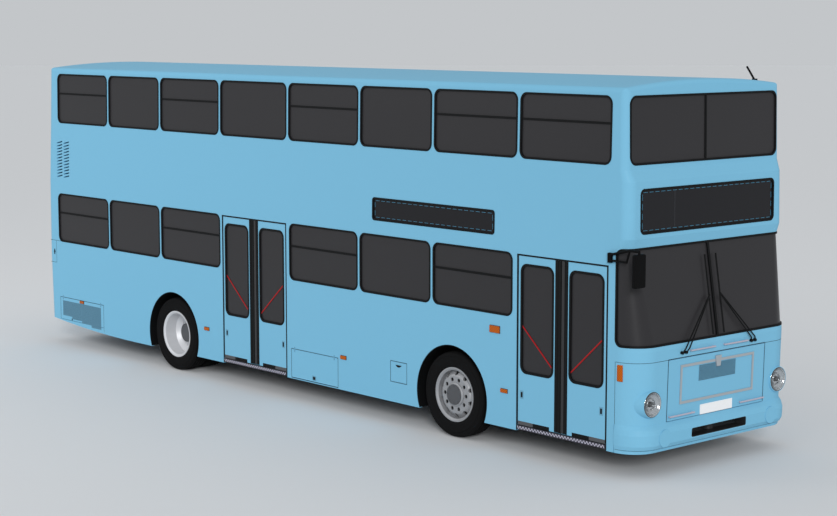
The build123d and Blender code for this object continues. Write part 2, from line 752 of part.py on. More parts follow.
# Rear axle: a drop centre between two raised ends that carry the hubs
REAR_BEAM = ((0, 275), (500, 275), (560, 400), (620, 400), (620, 535), (530, 535), (440, 385))
hub_middle = outer_wheel_y - (tyre_width + twin_gap) / 2
rear_axle = axle_beam(REAR_BEAM, rear_axle_x, 120)
rear_axle += (Pos(rear_axle_x, 0, 330) * Sphere(150)) & block((-6000, 6000), (-300, 300), (200, 395))
for name, side in SIDES:
    rear_axle += across(rear_axle_x, axle_z, stub_r, (side * 600, side * (hub_middle + 68)))
    rear_axle += block((rear_axle_x - 60, rear_axle_x + 60), (side * rail_y[0], side * rail_y[1]),
                       (370, rail_z[0]))
save("axles", gather([front_axle, rear_axle]))

# Wheels. A tyre's cross section: distance from its middle, radius
TYRE_SECTION = (
    (308, -112), (365, -133), (420, -134), (468, -119), (482, -88),
    (482, 88), (468, 119), (420, 134), (365, 133), (308, 112),
    (307, 99.5), (rim_seat_r + 0.4, 99.5), (rim_seat_r + 0.4, -99.5), (307, -99.5),
)

# Rims: radius, distance outwards from the middle of the wheel
FRONT_RIM = (
    (306, -118), (306, -108), (286, -100), (286, 100), (306, 108), (306, 118), (292, 118), (272, 104),
    (272, 50), (222, 92), (205, 98), (133, 98), (133, 108), (118, 118), (0, 124), (0, 88),
    (spindle_r + running_gap, 88), (spindle_r + running_gap, -15), (95, -15), (95, 60), (140, 86), (200, 86),
    (258, 38), (272, 20), (272, -104), (292, -118),
)
REAR_RIM = (
    (215, -150), (272, -88), (272, -104), (292, -118), (306, -118), (306, -108), (286, -100), (286, 100),
    (306, 108), (306, 118), (292, 118), (272, 104), (272, -60), (212, -136), (118, -136),
)
REAR_HUB = ((118, -62), (104, -50), (0, -50), (0, -78), (stub_r + running_gap, -78),
            (stub_r + running_gap, -150))
REAR_INNER_HUB = ((118, -100), (stub_r + running_gap, -100), (stub_r + running_gap, -150))


def turned(profile, x, y, side):
    """A section of radius and outward distance, turned about the wheel's axis."""
    face = make_face(Polyline(*[(radius, y + side * out) for radius, out in profile], close=True))
    return Pos(x, 0, axle_z) * revolve(face, Axis.Y)


def ring_of_holes(x, y, circle, radius, reach, turn):
    """Ten holes through the disc of a wheel; turn is in steps between two holes."""
    cuts = []
    for i in range(stud_count):
        angle = math.radians(360 * (i + turn) / stud_count)
        centre = (x + circle * math.cos(angle), axle_z + circle * math.sin(angle))
        cuts.append(across(centre[0], centre[1], radius, (y - reach, y + reach)))
    return gather(cuts)


inner_wheel_y = outer_wheel_y - tyre_width - twin_gap
for name, side in SIDES:
    outer, inner = side * outer_wheel_y, side * inner_wheel_y
    save(f"front_tyre_{name}", turned(TYRE_SECTION, front_axle_x, outer, side))
    front_rim = turned(FRONT_RIM, front_axle_x, outer, side)
    front_rim -= ring_of_holes(front_axle_x, outer + side * 70, stud_circle_r, stud_hole_r, 60, 0)
    front_rim -= ring_of_holes(front_axle_x, outer + side * 70, hand_hole_circle_r, hand_hole_r, 60, 0.5)
    save(f"front_rim_{name}", front_rim)
    pair = [turned(TYRE_SECTION, rear_axle_x, y, side) for y in (outer, inner)]
    save(f"rear_tyres_{name}", gather(pair))
    rear_rims = turned(REAR_RIM + REAR_HUB, rear_axle_x, outer, side)
    rear_rims += turned(REAR_RIM + REAR_INNER_HUB, rear_axle_x, inner, -side)
    save(f"rear_rims_{name}", rear_rims)

# Front bumper, wrapped round both corners: level, front face x, corner radius, half width
BUMPER_LEVELS = (
    (257, 5590, 280, 1250),
    (290, 5592, 280, 1250),
    (300, 5622, 290, 1253),
    (340, 5644, 295, 1260),
    (450, 5647, 295, 1262),
    (505, 5630, 290, 1257),
    (548, 5593, 280, 1250),
)


def bumper_outline(level, inset=0):
    z, tip, corner, half = level
    return end_outline("front", (z, tip, corner, half, 0), inset)


bumper = loft([bumper_outline(level) for level in BUMPER_LEVELS], ruled=True)
bumper -= loft([bumper_outline((z, 5592, 280, 1250), wall) for z in (200, 600)], ruled=True)
bumper -= block((5200, 5310), (-1400, 1400), (200, 600))
bumper -= front_panel(bumper_slot_half, bumper_slot_z, 22, (5400, 5700))
for name, side in SIDES:
    bumper += rod((5620, side * bumper_disc_y, bumper_disc_z), (5651, side * bumper_disc_y, bumper_disc_z),
                  bumper_disc_r)

# Rear bumper bar
rear_bumper = block((-5690, -5580), (-1150, 1150), (380, 462)) - rear_hull(0, 100)
save("bumpers", gather([bumper, rear_bumper]))

# Lamps: domed headlamps, side lamps along both sides, and the tail lamps
lens_back = lamp_face_x - lamp_recess
lens_tip = lamp_face_x + 8
lens_edge = lens_tip - lens_r + math.sqrt(lens_r ** 2 - (lamp_r - 1) ** 2)
lens_mid = lens_tip - lens_r + math.sqrt(lens_r ** 2 - (lamp_r / 2) ** 2)
lens_face = make_face([
    Line((lens_tip, 0), (lens_back, 0)),
    Line((lens_back, 0), (lens_back, lamp_r - 1)),
    Line((lens_back, lamp_r - 1), (lens_edge, lamp_r - 1)),
    ThreePointArc((lens_edge, lamp_r - 1), (lens_mid, lamp_r / 2), (lens_tip, 0)),
])
lens = revolve(lens_face, Axis.X)
lenses = [Pos(0, side * lamp_y, lamp_z) * lens for name, side in SIDES]
save("headlamps", gather(lenses))

side_lamps = []
for x, z, length, height in SIDE_LAMPS:
    for name, side in SIDES:
        y = (side * 1250, side * 1264)
        lamp = side_panel((x - length / 2, x + length / 2), (z - height / 2, z + height / 2), 8, y)
        side_lamps.append(lamp)
corner_layer = skin(front_hull, -14, 0)
for name, side in SIDES:
    side_lamps.append(corner_layer & side_panel(corner_lamp_x, corner_lamp_z, 15, (side * 1100, side * 1300)))
save("side_lamps", gather(side_lamps))

tail_lamps = []
for name, side in SIDES:
    for low, high in TAIL_LAMP_LEVELS:
        lamp = block((-5662, -5600), (side * 1010, side * 1110), (low, high))
        tail_lamps.append(lamp - rear_hull(0))
save("tail_lamps", gather(tail_lamps))

# Wipers: two rods from the mask to the middle of each upright blade
wipers = []
for name, side in SIDES:
    wiper = rod((5616, side * 88, 1381), (5480, side * 88, 2200), 8)
    for y in (529, 589):
        wiper += rod((5600, side * y, 1245), (5640, side * y, 1245), 16)
        wiper += bent_rod([(5634, side * y, 1245), (5648, side * (y - 30), 1290),
                           (5557, side * 88, 1690 + y / 6)], 7)
    wipers.append(wiper - front_hull(0))
save("wipers", gather(wipers))

# Mirror on bent tubes from the right side wall, reaching round to the front; drawn on the left
mirror_head = fillet(block((5630, 5690), (1232, 1388), (1980, 2315)).edges(), 18)
mirror_head += bent_rod([(5237, 1270, 2270), (5520, 1290, 2335), (5660, 1310, 2340), (5660, 1310, 2290)], 13)
mirror_head += bent_rod([(5237, 1270, 2215), (5480, 1290, 2215), (5520, 1290, 2335)], 11)
mirror_head += block((5215, 5259), (1250, 1283), (2190, 2290))

# The driver's own mirror is close behind the left front corner, on two short tubes
driver_mirror = fillet(block((5138, 5190), (1266, 1370), (1950, 2285)).edges(), 18)
for z in (2270, 2215):
    driver_mirror += rod((5082, 1270, z), (5156, 1318, z - 10), 11)
driver_mirror += block((5060, 5104), (1250, 1283), (2190, 2290))
save("mirrors", gather([mirror(mirror_head, about=Plane.XZ), driver_mirror]))

# Aerial leaning back on the roof
aerial = rod((5146, 1100, 3900), (5146, 1100, 3975), 30) + rod((5146, 1100, 3960), (5038, 1100, 4103), 11)
save("aerial", aerial - middle_hull(0))

# Housings of the destination signs, open towards their glass
front_box = block((5310, 5405), (-1060, 1060), (2450, 2950))
front_box -= block((5330, 5500), (-1040, 1040), (2470, 2930))
side_box = block((1525, 3578), (-1198, -1110), (2314, 2606))
side_box -= block((1545, 3558), (-1300, -1130), (2330, 2590))
save("sign_boxes", gather([front_box, side_box]))

# Seats: cushion and back as outlines along the width of the seat, on a box-shaped leg
CUSHION = ((5, 365), (430, 365), (445, 440), (70, 425))
BACK = ((5, 365), (70, 425), (-30, 1010), (-85, 1005), (-15, 400))
LEG_X = (120, 330)
leg_half = 130
cushions = []
backs = []
legs = []


def add_seat(x, z, y):
    """Cushion, back and leg of one seat, whose back starts at x on a floor at z."""
    for outline, row in ((CUSHION, cushions), (BACK, backs)):
        face = make_face(Polyline(*[(x + dx, z + dz) for dx, dz in outline], close=True))
        row.append(extrude(Plane.XZ.offset(-max(y)) * face, abs(y[1] - y[0])))
    middle = (y[0] + y[1]) / 2
    leg_x = (x + LEG_X[0], x + LEG_X[1])
    legs.append(block(leg_x, (middle - leg_half, middle + leg_half), (z, z + CUSHION[0][1])))


for side, rows in ((LEFT, LEFT_LOWER_ROWS), (RIGHT, RIGHT_LOWER_ROWS)):
    for x in rows:
        z = rear_floor_z if x < rear_floor_x else floor_z
        add_seat(x, z, (side * seat_pair_y[0], side * seat_pair_y[1]))

for i in range(upper_row_count):
    x = upper_row_start + i * upper_row_pitch
    for side in (LEFT, RIGHT):
        beside_stair = side == LEFT and stair_hole_x[0] - 500 < x < stair_hole_x[1] + 100
        if not beside_stair:
            add_seat(x, upper_floor_z, (side * seat_pair_y[0], side * seat_pair_y[1]))

# Driver's place: seat, fascia with the steering column, and the steering wheel on its shaft
add_seat(4350, floor_z, (480, 960))
save("seat_cushions", gather(cushions))
save("seat_backs", gather(backs))
FASCIA = ((5200, 1010), (5200, 1080), (5260, 1230), (5440, 1250), (5490, 1180), (5490, 580), (5450, 580),
          (5450, 1010))
fascia = extrude(Plane.XZ.offset(-880) * make_face(Polyline(*FASCIA, close=True)), 730)
wheel_centre = Vector(5020, 700, 1280)
column_way = Vector(math.sin(math.radians(25)), 0, -math.cos(math.radians(25)))


def along_column(distance):
    return tuple(wheel_centre + column_way * distance)


column = rod(along_column(60), along_column(720), 32)
column -= rod(along_column(50), along_column(120), 13)
column += block((5270, 5370), (650, 750), (floor_z, 660))
save("fascia", gather([fascia, column]))

steering_wheel = Plane(origin=wheel_centre, z_dir=column_way) * Torus(225, 14)
steering_wheel += rod(along_column(-12), along_column(40), 42)
steering_wheel += rod(along_column(0), along_column(100), 12)
across_wheel = Plane(origin=wheel_centre, x_dir=(0, 1, 0), z_dir=column_way)
for angle in (0, 120, 240):
    steering_wheel += across_wheel * Rot(0, 0, angle) * Pos(112, 0, 0) * Box(225, 30, 12)
save("steering_wheel", steering_wheel)

# Stair: treads and risers on an inner side plate, over the left front wheel box
treads = []
for i in range(stair_steps):
    x = stair_start - i * stair_run
    z = floor_z + (i + 1) * stair_rise
    treads.append(block((x - stair_run, x), stair_y, (z - 30, z)))
    treads.append(block((x - 20, x), stair_y, (max(z - stair_rise - 30, floor_z), z - 30)))
slope = stair_rise / stair_run


def nosing_z(x):
    return floor_z + stair_rise + (stair_start - x) * slope


stair_end = stair_start - stair_steps * stair_run
plate_points = [
    (stair_start + 40, floor_z), (stair_start + 40, nosing_z(stair_start)),
    (stair_end + 200, nosing_z(stair_end + 200) + 60), (stair_end + 5, upper_floor_z + 5),
    (stair_end + 5, nosing_z(stair_end) - 360), (stair_start - 40, floor_z),
]
side_plate = extrude(Plane.XZ.offset(-stair_y[0]) * make_face(Polyline(*plate_points, close=True)), 18)
save("staircase", fuse_all(treads + [side_plate]))

# Everything upright on the floors: grab poles, the wall behind the driver, and the seats' legs
poles = [rod((x, y, floor_z), (x, y, upper_bottom), 17) for x, y in POLES]
driver_wall = block((4130, 4155), (420, 1190), (floor_z, 2060))
save("uprights", gather(poles + [driver_wall] + legs))
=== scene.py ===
import math

import bmesh
import bpy
from mathutils import Matrix, Vector
from mathutils.bvhtree import BVHTree


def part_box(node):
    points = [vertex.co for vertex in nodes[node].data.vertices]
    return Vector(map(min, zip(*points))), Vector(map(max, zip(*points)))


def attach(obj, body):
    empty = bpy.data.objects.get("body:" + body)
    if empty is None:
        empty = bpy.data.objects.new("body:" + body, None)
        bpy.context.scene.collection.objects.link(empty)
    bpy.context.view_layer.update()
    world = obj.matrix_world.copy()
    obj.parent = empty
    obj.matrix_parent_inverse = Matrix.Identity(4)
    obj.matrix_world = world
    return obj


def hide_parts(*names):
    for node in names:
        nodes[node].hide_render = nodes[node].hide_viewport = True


# %% [markdown]
# # Dressing a city double decker bus
#
# The solid bus comes from CAD and is loaded as a fixed frame. What follows adds finishes for
# the solids, and the thin trim, lamps, grilles, fasteners and grips that sit on them.

# %% Load the frame
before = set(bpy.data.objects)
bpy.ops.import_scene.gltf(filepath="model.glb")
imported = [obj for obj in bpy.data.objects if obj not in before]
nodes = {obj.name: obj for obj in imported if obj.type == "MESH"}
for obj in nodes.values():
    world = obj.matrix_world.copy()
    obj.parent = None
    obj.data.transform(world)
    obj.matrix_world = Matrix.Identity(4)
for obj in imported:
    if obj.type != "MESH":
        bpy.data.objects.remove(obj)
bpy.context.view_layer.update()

# %% [markdown]
# ## A place for each thing
#
# The frame has X forwards, Y to the left and Z up, in metres.

# %% Measures taken from the frame
RIGHT, LEFT = -1, 1
MM = 0.001


def span(node):
    """Lowest and highest corner of a solid, as two vectors."""
    low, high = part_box(node)
    return Vector(low), Vector(high)


TREES = {}
bpy.context.view_layer.update()


def surface(node, start, way):
    """The place where a line from start along way first meets a solid."""
    if node not in TREES:
        solid = nodes[node]
        points = [solid.matrix_world @ vert.co for vert in solid.data.vertices]
        faces = [tuple(face.vertices) for face in solid.data.polygons]
        TREES[node] = BVHTree.FromPolygons(points, faces)
    return TREES[node].ray_cast(Vector(start), Vector(way))[0]

# %% [markdown]
# ## Colours
#
# Colours are named as they look on a screen, in sRGB. Shaders count light, so one function
# turns the hex value to linear numbers.


# %% Colour and node helpers
def linear(hex_colour):
    """sRGB hex to linear RGBA."""
    channels = [int(hex_colour[i:i + 2], 16) / 255 for i in (1, 3, 5)]
    values = [c / 12.92 if c <= 0.04045 else ((c + 0.055) / 1.055) ** 2.4 for c in channels]
    return (*values, 1.0)


def add_node(owner, kind, settings=None, links=None):
    """One node of a material or world, with its settings and the sockets that feed it."""
    node = owner.node_tree.nodes.new("ShaderNode" + kind)
    for name, value in (settings or {}).items():
        if name in node.inputs:
            node.inputs[name].default_value = value
        else:
            setattr(node, name, value)
    for name, source in (links or {}).items():
        owner.node_tree.links.new(source, node.inputs[name])
    return node


def new_material(name, colour, **sockets):
    """A material with its shader's sockets set; underscores stand for spaces."""
    material = bpy.data.materials.new(name)
    material.use_nodes = True
    shader = material.node_tree.nodes["Principled BSDF"]
    shader.inputs["Base Color"].default_value = linear(colour)
    for socket, value in sockets.items():
        shader.inputs[socket.replace("_", " ")].default_value = value
    material.diffuse_color = linear(colour)
    return material


def add_texture(material, kind, settings):
    """Outputs of a texture laid on in metres."""
    place = add_node(material, "TexCoord")
    return add_node(material, kind, settings, {"Vector": place.outputs["Object"]}).outputs


def feed_shader(material, socket, source):
    shader = material.node_tree.nodes["Principled BSDF"]
    material.node_tree.links.new(source, shader.inputs[socket])


def add_grain(material, spacing, height, detail=2.0):
    """Fine bumps; spacing and height in metres."""
    noise = add_texture(material, "TexNoise", {"Scale": 1 / spacing, "Detail": detail})
    bump = add_node(material, "Bump", {"Strength": 0.6, "Distance": height}, {"Height": noise["Fac"]})
    feed_shader(material, "Normal", bump.outputs["Normal"])


# A wave texture of scale 1 repeats every 0.314 m
WAVE_PITCH = 0.314
PRISM_PITCH = 14 * MM


def add_painted_rib_light(material, rib_highlight, rib_shade):
    """Painted light of the ribs inside a lens: slanting bands of painted highlight and painted shade."""
    bands = add_texture(material, "TexWave",
                        {"bands_direction": "DIAGONAL", "Scale": WAVE_PITCH / PRISM_PITCH})
    mix = add_node(material, "ValToRGB", None, {"Fac": bands["Fac"]})
    mix.color_ramp.elements[0].color = linear(rib_shade)
    mix.color_ramp.elements[1].color = linear(rib_highlight)
    feed_shader(material, "Base Color", mix.outputs["Color"])


# %% [markdown]
# ## Body paint
#
# The panels are sprayed with a light blue two-pack enamel. Years of brush washing have left
# it satin, so the shader is fairly rough and its coat is thin. A sprayed coat is never quite
# flat: its orange peel has dimples about 6 mm apart.

# %% Body paint
body_paint = new_material("two-pack enamel, light blue", "#7BB9D7", Roughness=0.55, IOR=1.5,
                          Specular_IOR_Level=0.06, Coat_Weight=0.02, Coat_Roughness=0.2)
add_grain(body_paint, 6 * MM, 0.02 * MM)

# %% [markdown]
# ## Glass
#
# The panes are toughened glass with a dark grey tint, which by day looks almost black from
# outside. Lamp lenses are moulded acrylic. The ribs inside them are painted as slanting bands:
# a painted highlight on their crests and painted shade between them.

# %% Glass and lens materials
tinted_glass = new_material("tinted toughened glass", "#302F31", Roughness=0.33, IOR=1.5,
                            Transmission_Weight=0.08, Specular_IOR_Level=0.2)
lamp_glass = new_material("clear pressed lamp glass", "#C9CDCF", Roughness=0.08, IOR=1.5,
                          Transmission_Weight=0.35)
amber_lens = new_material("moulded amber acrylic", "#C8690C", Roughness=0.3, IOR=1.49,
                          Specular_IOR_Level=0.2)
# The amber bands are a painted highlight and painted shade of the lens ribs.
add_painted_rib_light(amber_lens, "#D56C0A", "#8A3A04")
red_lens = new_material("moulded red acrylic", "#A81A18", Roughness=0.3, IOR=1.49,
                        Specular_IOR_Level=0.3)
# The red bands are a painted highlight and painted shade of the lens ribs.
add_painted_rib_light(red_lens, "#B5201D", "#7A0F0E")

# %% [markdown]
# ## Rubber and plastics
#
# Window rubbers and wipers are EPDM, matt and almost black. Tyres are carbon-black rubber
# with a dusty, rougher face. Mirror heads, sign housings and the dashboard are moulded ABS
# with a fine grain, and the floors are grey vinyl with a grain against slipping.

# %% Rubber and plastic materials
window_rubber = new_material("extruded EPDM rubber", "#0A0B0C", Roughness=0.6, IOR=1.52,
                             Specular_IOR_Level=0.15)
tyre_rubber = new_material("tyre rubber", "#0D0D0E", Roughness=0.85, IOR=1.52,
                           Specular_IOR_Level=0.12)
add_grain(tyre_rubber, 4 * MM, 0.3 * MM, detail=4.0)
black_abs = new_material("grained black ABS", "#060607", Roughness=0.6, IOR=1.53, Specular_IOR_Level=0.08)
add_grain(black_abs, 2 * MM, 0.1 * MM)
floor_vinyl = new_material("grained floor vinyl", "#55585C", Roughness=0.7, IOR=1.53)
add_grain(floor_vinyl, 3 * MM, 0.2 * MM)

# %% [markdown]
# ## Metals
#
# Wheels have a silver lacquer. The rear wheels and their nuts get a lighter copy of it, which is
# painted light in the shade of their deep discs. Hub covers are dull, darker steel, and the
# chassis has a black stove enamel. Grab poles are brushed stainless steel, and mouldings are
# anodised aluminium, which is pale with a soft shine.

# %% Metal materials
wheel_silver = new_material("silver wheel lacquer", "#A2A3A6", Metallic=0.5, Roughness=0.45)
add_grain(wheel_silver, 5 * MM, 0.05 * MM)
# A lighter copy of the wheel lacquer: painted light in the deep, shaded discs of the rear wheels.
lit_silver = new_material("lighter silver lacquer, painted light", "#D4D5D8", Metallic=0.3, Roughness=0.5)
cap_steel = new_material("dull pressed steel", "#5E5F62", Metallic=0.6, Roughness=0.5)
chassis_black = new_material("black stove enamel", "#242527", Roughness=0.5, IOR=1.5)
stainless = new_material("brushed stainless steel", "#B9BCBF", Metallic=1.0, Roughness=0.3)
bright_aluminium = new_material("bright anodised aluminium", "#B7BDC2", Metallic=0.6, Roughness=0.35)

# %% [markdown]
# ## Seat cloth
#
# Seats wear a short wool moquette without shine. Its loops are finer than a render can show,
# so the weave is drawn 6 mm wide.

# %% Seat cloth
moquette = new_material("wool moquette", "#2F4468", Roughness=0.9, Sheen_Weight=0.3)
weave = add_texture(moquette, "TexChecker",
                    {"Scale": 1 / (6 * MM), "Color1": linear("#2F4468"), "Color2": linear("#3B5580")})
feed_shader(moquette, "Base Color", weave["Color"])

# %% [markdown]
# ## Every solid gets its finish
#
# The objects of the solids stay as they are, and only the material in each slot is changed.

# %% Finishes of the solids
FINISHES = {
    body_paint: (
        "side_wall_right", "side_wall_left", "roof", "front_mask", "front_dome", "rear_wall",
        "front_hatch", "engine_hatch", "battery_flap", "filler_flap", "radiator_flap", "bumpers",
        "front_leaf_rear", "front_leaf_fore", "middle_leaf_rear", "middle_leaf_fore",
    ),
    tinted_glass: ("windscreen", "deck_glass", "front_pane_rear", "front_pane_fore",
                   "middle_pane_rear", "middle_pane_fore"),
    lamp_glass: ("headlamps",),
    amber_lens: ("side_lamps",),
    red_lens: ("tail_lamps",),
    window_rubber: ("window_rubbers", "wipers"),
    tyre_rubber: ("front_tyre_left", "front_tyre_right", "rear_tyres_left", "rear_tyres_right"),
    wheel_silver: ("front_rim_left", "front_rim_right"),
    # The rear rims get the lighter lacquer, painted light in their shaded discs.
    lit_silver: ("rear_rims_left", "rear_rims_right"),
    chassis_black: ("chassis_rails", "cross_members", "axles", "knuckle_left", "knuckle_right",
                    "tie_rod", "engine", "floor_boxes"),
    floor_vinyl: ("lower_floor", "upper_floor", "staircase"),
    black_abs: ("fascia", "steering_wheel", "sign_boxes", "mirrors", "aerial"),
    moquette: ("seat_cushions", "seat_backs"),
    stainless: ("uprights", "front_arm_rear", "front_arm_fore", "middle_arm_rear", "middle_arm_fore"),
}
for material, names in FINISHES.items():
    for name in names:
        solid = nodes[name]
        for slot in solid.material_slots:
            slot.material = material
print("finished", sum(len(names) for names in FINISHES.values()), "of", len(nodes), "solids")

# %% [markdown]
# ## Helpers for new pieces
#
# Each piece is drawn in a bmesh at its real place and stays at the origin as an object, so
# that patterns and exports line up.


# %% Piece helpers
def new_object(name, data):
    made = bpy.data.objects.new(name, data)
    bpy.context.scene.collection.objects.link(made)
    return made


def mesh_object(mesh, name, material):
    data = bpy.data.meshes.new(name)
    mesh.to_mesh(data)
    mesh.free()
    data.materials.append(material)
    return new_object(name, data)


def finish_piece(mesh, name, material, body="body", smooth=False):
    """Close a bmesh into an object that rides on a body."""
    bmesh.ops.remove_doubles(mesh, verts=mesh.verts, dist=1e-6)
    bmesh.ops.recalc_face_normals(mesh, faces=mesh.faces)
    piece = mesh_object(mesh, name, material)
    if smooth:
        piece.data.shade_smooth()
    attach(piece, body)
    print(name, "rides on", body, "with", len(piece.data.polygons), "faces")
    return piece


def add_block(mesh, low, high, bevel=0.0):
    """A box between two corners, which may have rounded edges."""
    size = Vector(high) - Vector(low)
    middle = (Vector(high) + Vector(low)) / 2
    place = Matrix.Translation(middle) @ Matrix.Diagonal((*size, 1))
    made = bmesh.ops.create_cube(mesh, size=1, matrix=place)
    if bevel:
        edges = {edge for vert in made["verts"] for edge in vert.link_edges}
        bmesh.ops.bevel(mesh, geom=list(edges), offset=bevel, affect="EDGES", segments=2, profile=0.5,
                        material=-1)


def draw_piece(name, material, body, draw, *places, **sizes):
    """A piece that one call of a drawing helper makes."""
    mesh = bmesh.new()
    draw(mesh, *places, **sizes)
    finish_piece(mesh, name, material, body)


def add_rod(mesh, start, end, radius, sides=12, radius_end=None):
    """A round bar between two points, which may taper."""
    start, end = Vector(start), Vector(end)
    run = end - start
    turn = run.to_track_quat("Z", "Y").to_matrix().to_4x4()
    place = Matrix.Translation((start + end) / 2) @ turn
    far_radius = radius if radius_end is None else radius_end
    bmesh.ops.create_cone(mesh, cap_ends=True, segments=sides, radius1=radius, radius2=far_radius,
                          depth=run.length, matrix=place)


# %% [markdown]
# ## Tyres
#
# A bus tyre has a wide tread with four straight grooves, and a sidewall that bulges over the
# rim. Its cross section is turned about the axle. The piece replaces the plainer solid tyre.

# %% Tyres
AXLE_Z = 0.482
FRONT_AXLE_X, REAR_AXLE_X = 2.885, -2.515
OUTER_Y, INNER_Y = 1.087, 0.787
# Each tyre node: its body, its axle and the middles of its tyres
WHEELS = {
    "front_tyre_left": ("front_wheel_left", FRONT_AXLE_X, (OUTER_Y,)),
    "front_tyre_right": ("front_wheel_right", FRONT_AXLE_X, (-OUTER_Y,)),
    "rear_tyres_left": ("rear_wheels_left", REAR_AXLE_X, (OUTER_Y, INNER_Y)),
    "rear_tyres_right": ("rear_wheels_right", REAR_AXLE_X, (-OUTER_Y, -INNER_Y)),
}
# Half of the cross section: distance from the middle and radius in mm
TYRE_HALF = (
    (0, 482), (14, 482), (15, 469), (25, 469), (26, 482), (54, 481), (55, 468), (65, 468), (66, 480),
    (88, 479), (104, 475), (119, 467), (126, 452), (132, 430), (129, 427), (134, 420), (134, 400),
    (133, 372), (128, 345), (130, 341), (122, 322), (112, 309), (99, 307), (99, 288), (0, 288),
)


def spin_outline(mesh, points, centre, axis, steps):
    """A closed outline turned once about an axis."""
    verts = [mesh.verts.new(point) for point in points]
    edges = [mesh.edges.new((a, b)) for a, b in zip(verts, verts[1:] + verts[:1])]
    bmesh.ops.spin(mesh, geom=verts + edges, cent=centre, axis=axis, angle=math.tau, steps=steps,
                   use_merge=True)


def add_turned(mesh, profile, x, y, steps, side=1):
    """An outline of distance outwards and radius in mm, turned about an axle."""
    points = [(x, y + side * out * MM, AXLE_Z + radius * MM) for out, radius in profile]
    spin_outline(mesh, points, (x, y, AXLE_Z), (0, 1, 0), steps)


outline = list(TYRE_HALF) + [(-out, radius) for out, radius in reversed(TYRE_HALF[1:-1])]
for node, (body, x, places) in WHEELS.items():
    mesh = bmesh.new()
    for y in places:
        add_turned(mesh, outline, x, y, steps=72)
    tyre = finish_piece(mesh, node.replace("tyre", "grooved_tyre"), tyre_rubber, body)
    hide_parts(node)

# %% [markdown]
# ## Hub covers and studs
#
# A round steel cover with a ring of small screws closes the hub. Ten long studs and their
# nuts stand out of the deep disc of the twin wheels, in the lighter lacquer that is painted
# light. Behind the holes of a front wheel is the black brake drum, whose black is also painted
# shade seen through the holes.

# %% Hub covers and studs
# A cover: its face from the middle of the tyre, its radius and its depth
FRONT_COVER = (125 * MM, 118 * MM, 12 * MM)
REAR_COVER = (-38 * MM, 128 * MM, 30 * MM)
COVER_SCREWS, SCREW_CIRCLE = 8, 0.8
STUD_COUNT, STUD_CIRCLE, DISC_DEPTH = 10, 170 * MM, 140 * MM
# Length, radius and sides of a wheel nut and of its stud
NUT, STUD = (40 * MM, 19 * MM, 6), (66 * MM, 11 * MM, 12)
# Distance outwards and radius in mm
DRUM = ((20, 130), (60, 130), (60, 205), (30, 245), (20, 245))


def round_axle(x, y, radius, count):
    """Places spaced evenly on a circle about an axle."""
    angles = [math.tau * i / count for i in range(count)]
    return [Vector((x + radius * math.cos(angle), y, AXLE_Z + radius * math.sin(angle))) for angle in angles]


for node, (body, x, places) in WHEELS.items():
    side = LEFT if places[0] > 0 else RIGHT
    front = "front" in node
    inset, radius, depth = FRONT_COVER if front else REAR_COVER
    face = places[0] + side * inset
    mesh = bmesh.new()
    add_rod(mesh, (x, face - side * depth, AXLE_Z), (x, face, AXLE_Z), radius, 48, radius - 5 * MM)
    for spot in round_axle(x, face, SCREW_CIRCLE * radius, COVER_SCREWS):
        add_rod(mesh, spot, spot + Vector((0, side * 4 * MM, 0)), 7 * MM, 6)
    finish_piece(mesh, node.replace("tyre", "hub_cover"), cap_steel, body)
    mesh = bmesh.new()
    if front:
        # The drum is black: a brake drum, and painted shade seen through the wheel's holes.
        add_turned(mesh, DRUM, x, places[0], 40, side)
        finish_piece(mesh, node.replace("tyre", "brake_drum_and_shade"), chassis_black, body)
        continue
    # Studs and nuts get the lighter lacquer too, as painted light.
    for spot in round_axle(x, places[0] - side * DISC_DEPTH, STUD_CIRCLE, STUD_COUNT):
        for length, radius, sides in (NUT, STUD):
            add_rod(mesh, spot, spot + Vector((0, side * length, 0)), radius, sides)
    finish_piece(mesh, node.replace("tyres", "studs"), lit_silver, body)

# %% [markdown]
# ## Door leaves
#
# Each leaf has a window in a rubber frame, a broad rubber along its closing edge, a small
# lock near its outer edge, and a red safety bar across the glass. They all ride on the leaf,
# so they swing with it.

# %% Outline helpers
def add_ring(mesh, middle, facing, half, corner, width, depth):
    """A ring with round corners in an empty mesh; half is its size from the middle of its face."""
    out = Vector(facing)
    across = Vector((0, 0, 1)).cross(out)
    turn = Matrix((across, out.cross(across), out)).transposed()
    place = Matrix.Translation(middle) @ turn.to_4x4()
    made = bmesh.ops.create_grid(mesh, x_segments=1, y_segments=1, size=1,
                                 matrix=place @ Matrix.Diagonal((half[0], half[1], 1, 1)))
    bmesh.ops.bevel(mesh, geom=made["verts"], offset=corner, offset_type="OFFSET", affect="VERTICES",
                    segments=6, profile=0.5, material=-1)
    sheet = mesh.faces[:]
    ring = bmesh.ops.inset_region(mesh, faces=sheet, thickness=width, depth=0, use_boundary=True,
                                  use_even_offset=True)
    bmesh.ops.delete(mesh, geom=sheet, context="FACES")
    made = bmesh.ops.extrude_face_region(mesh, geom=ring["faces"])
    moved = [vert for vert in made["geom"] if isinstance(vert, bmesh.types.BMVert)]
    bmesh.ops.translate(mesh, verts=moved, vec=-depth * out)


def add_bar(mesh, start, end, width, thick, facing):
    """A flat bar from start to end whose broad side looks along facing."""
    start, end = Vector(start), Vector(end)
    along = (end - start).normalized()
    out = (Vector(facing) - along * along.dot(Vector(facing))).normalized()
    across = along.cross(out)
    turn = Matrix((across, out, along)).transposed().to_4x4()
    size = Matrix.Diagonal((width, thick, (end - start).length, 1))
    bmesh.ops.create_cube(mesh, size=1, matrix=Matrix.Translation((start + end) / 2) @ turn @ size)


# %% [markdown]
# Small fittings have a blue paint a shade darker than the body. One strip of the closing
# rubber is satin, and its lighter grey is a painted highlight: the thin line of light it catches.

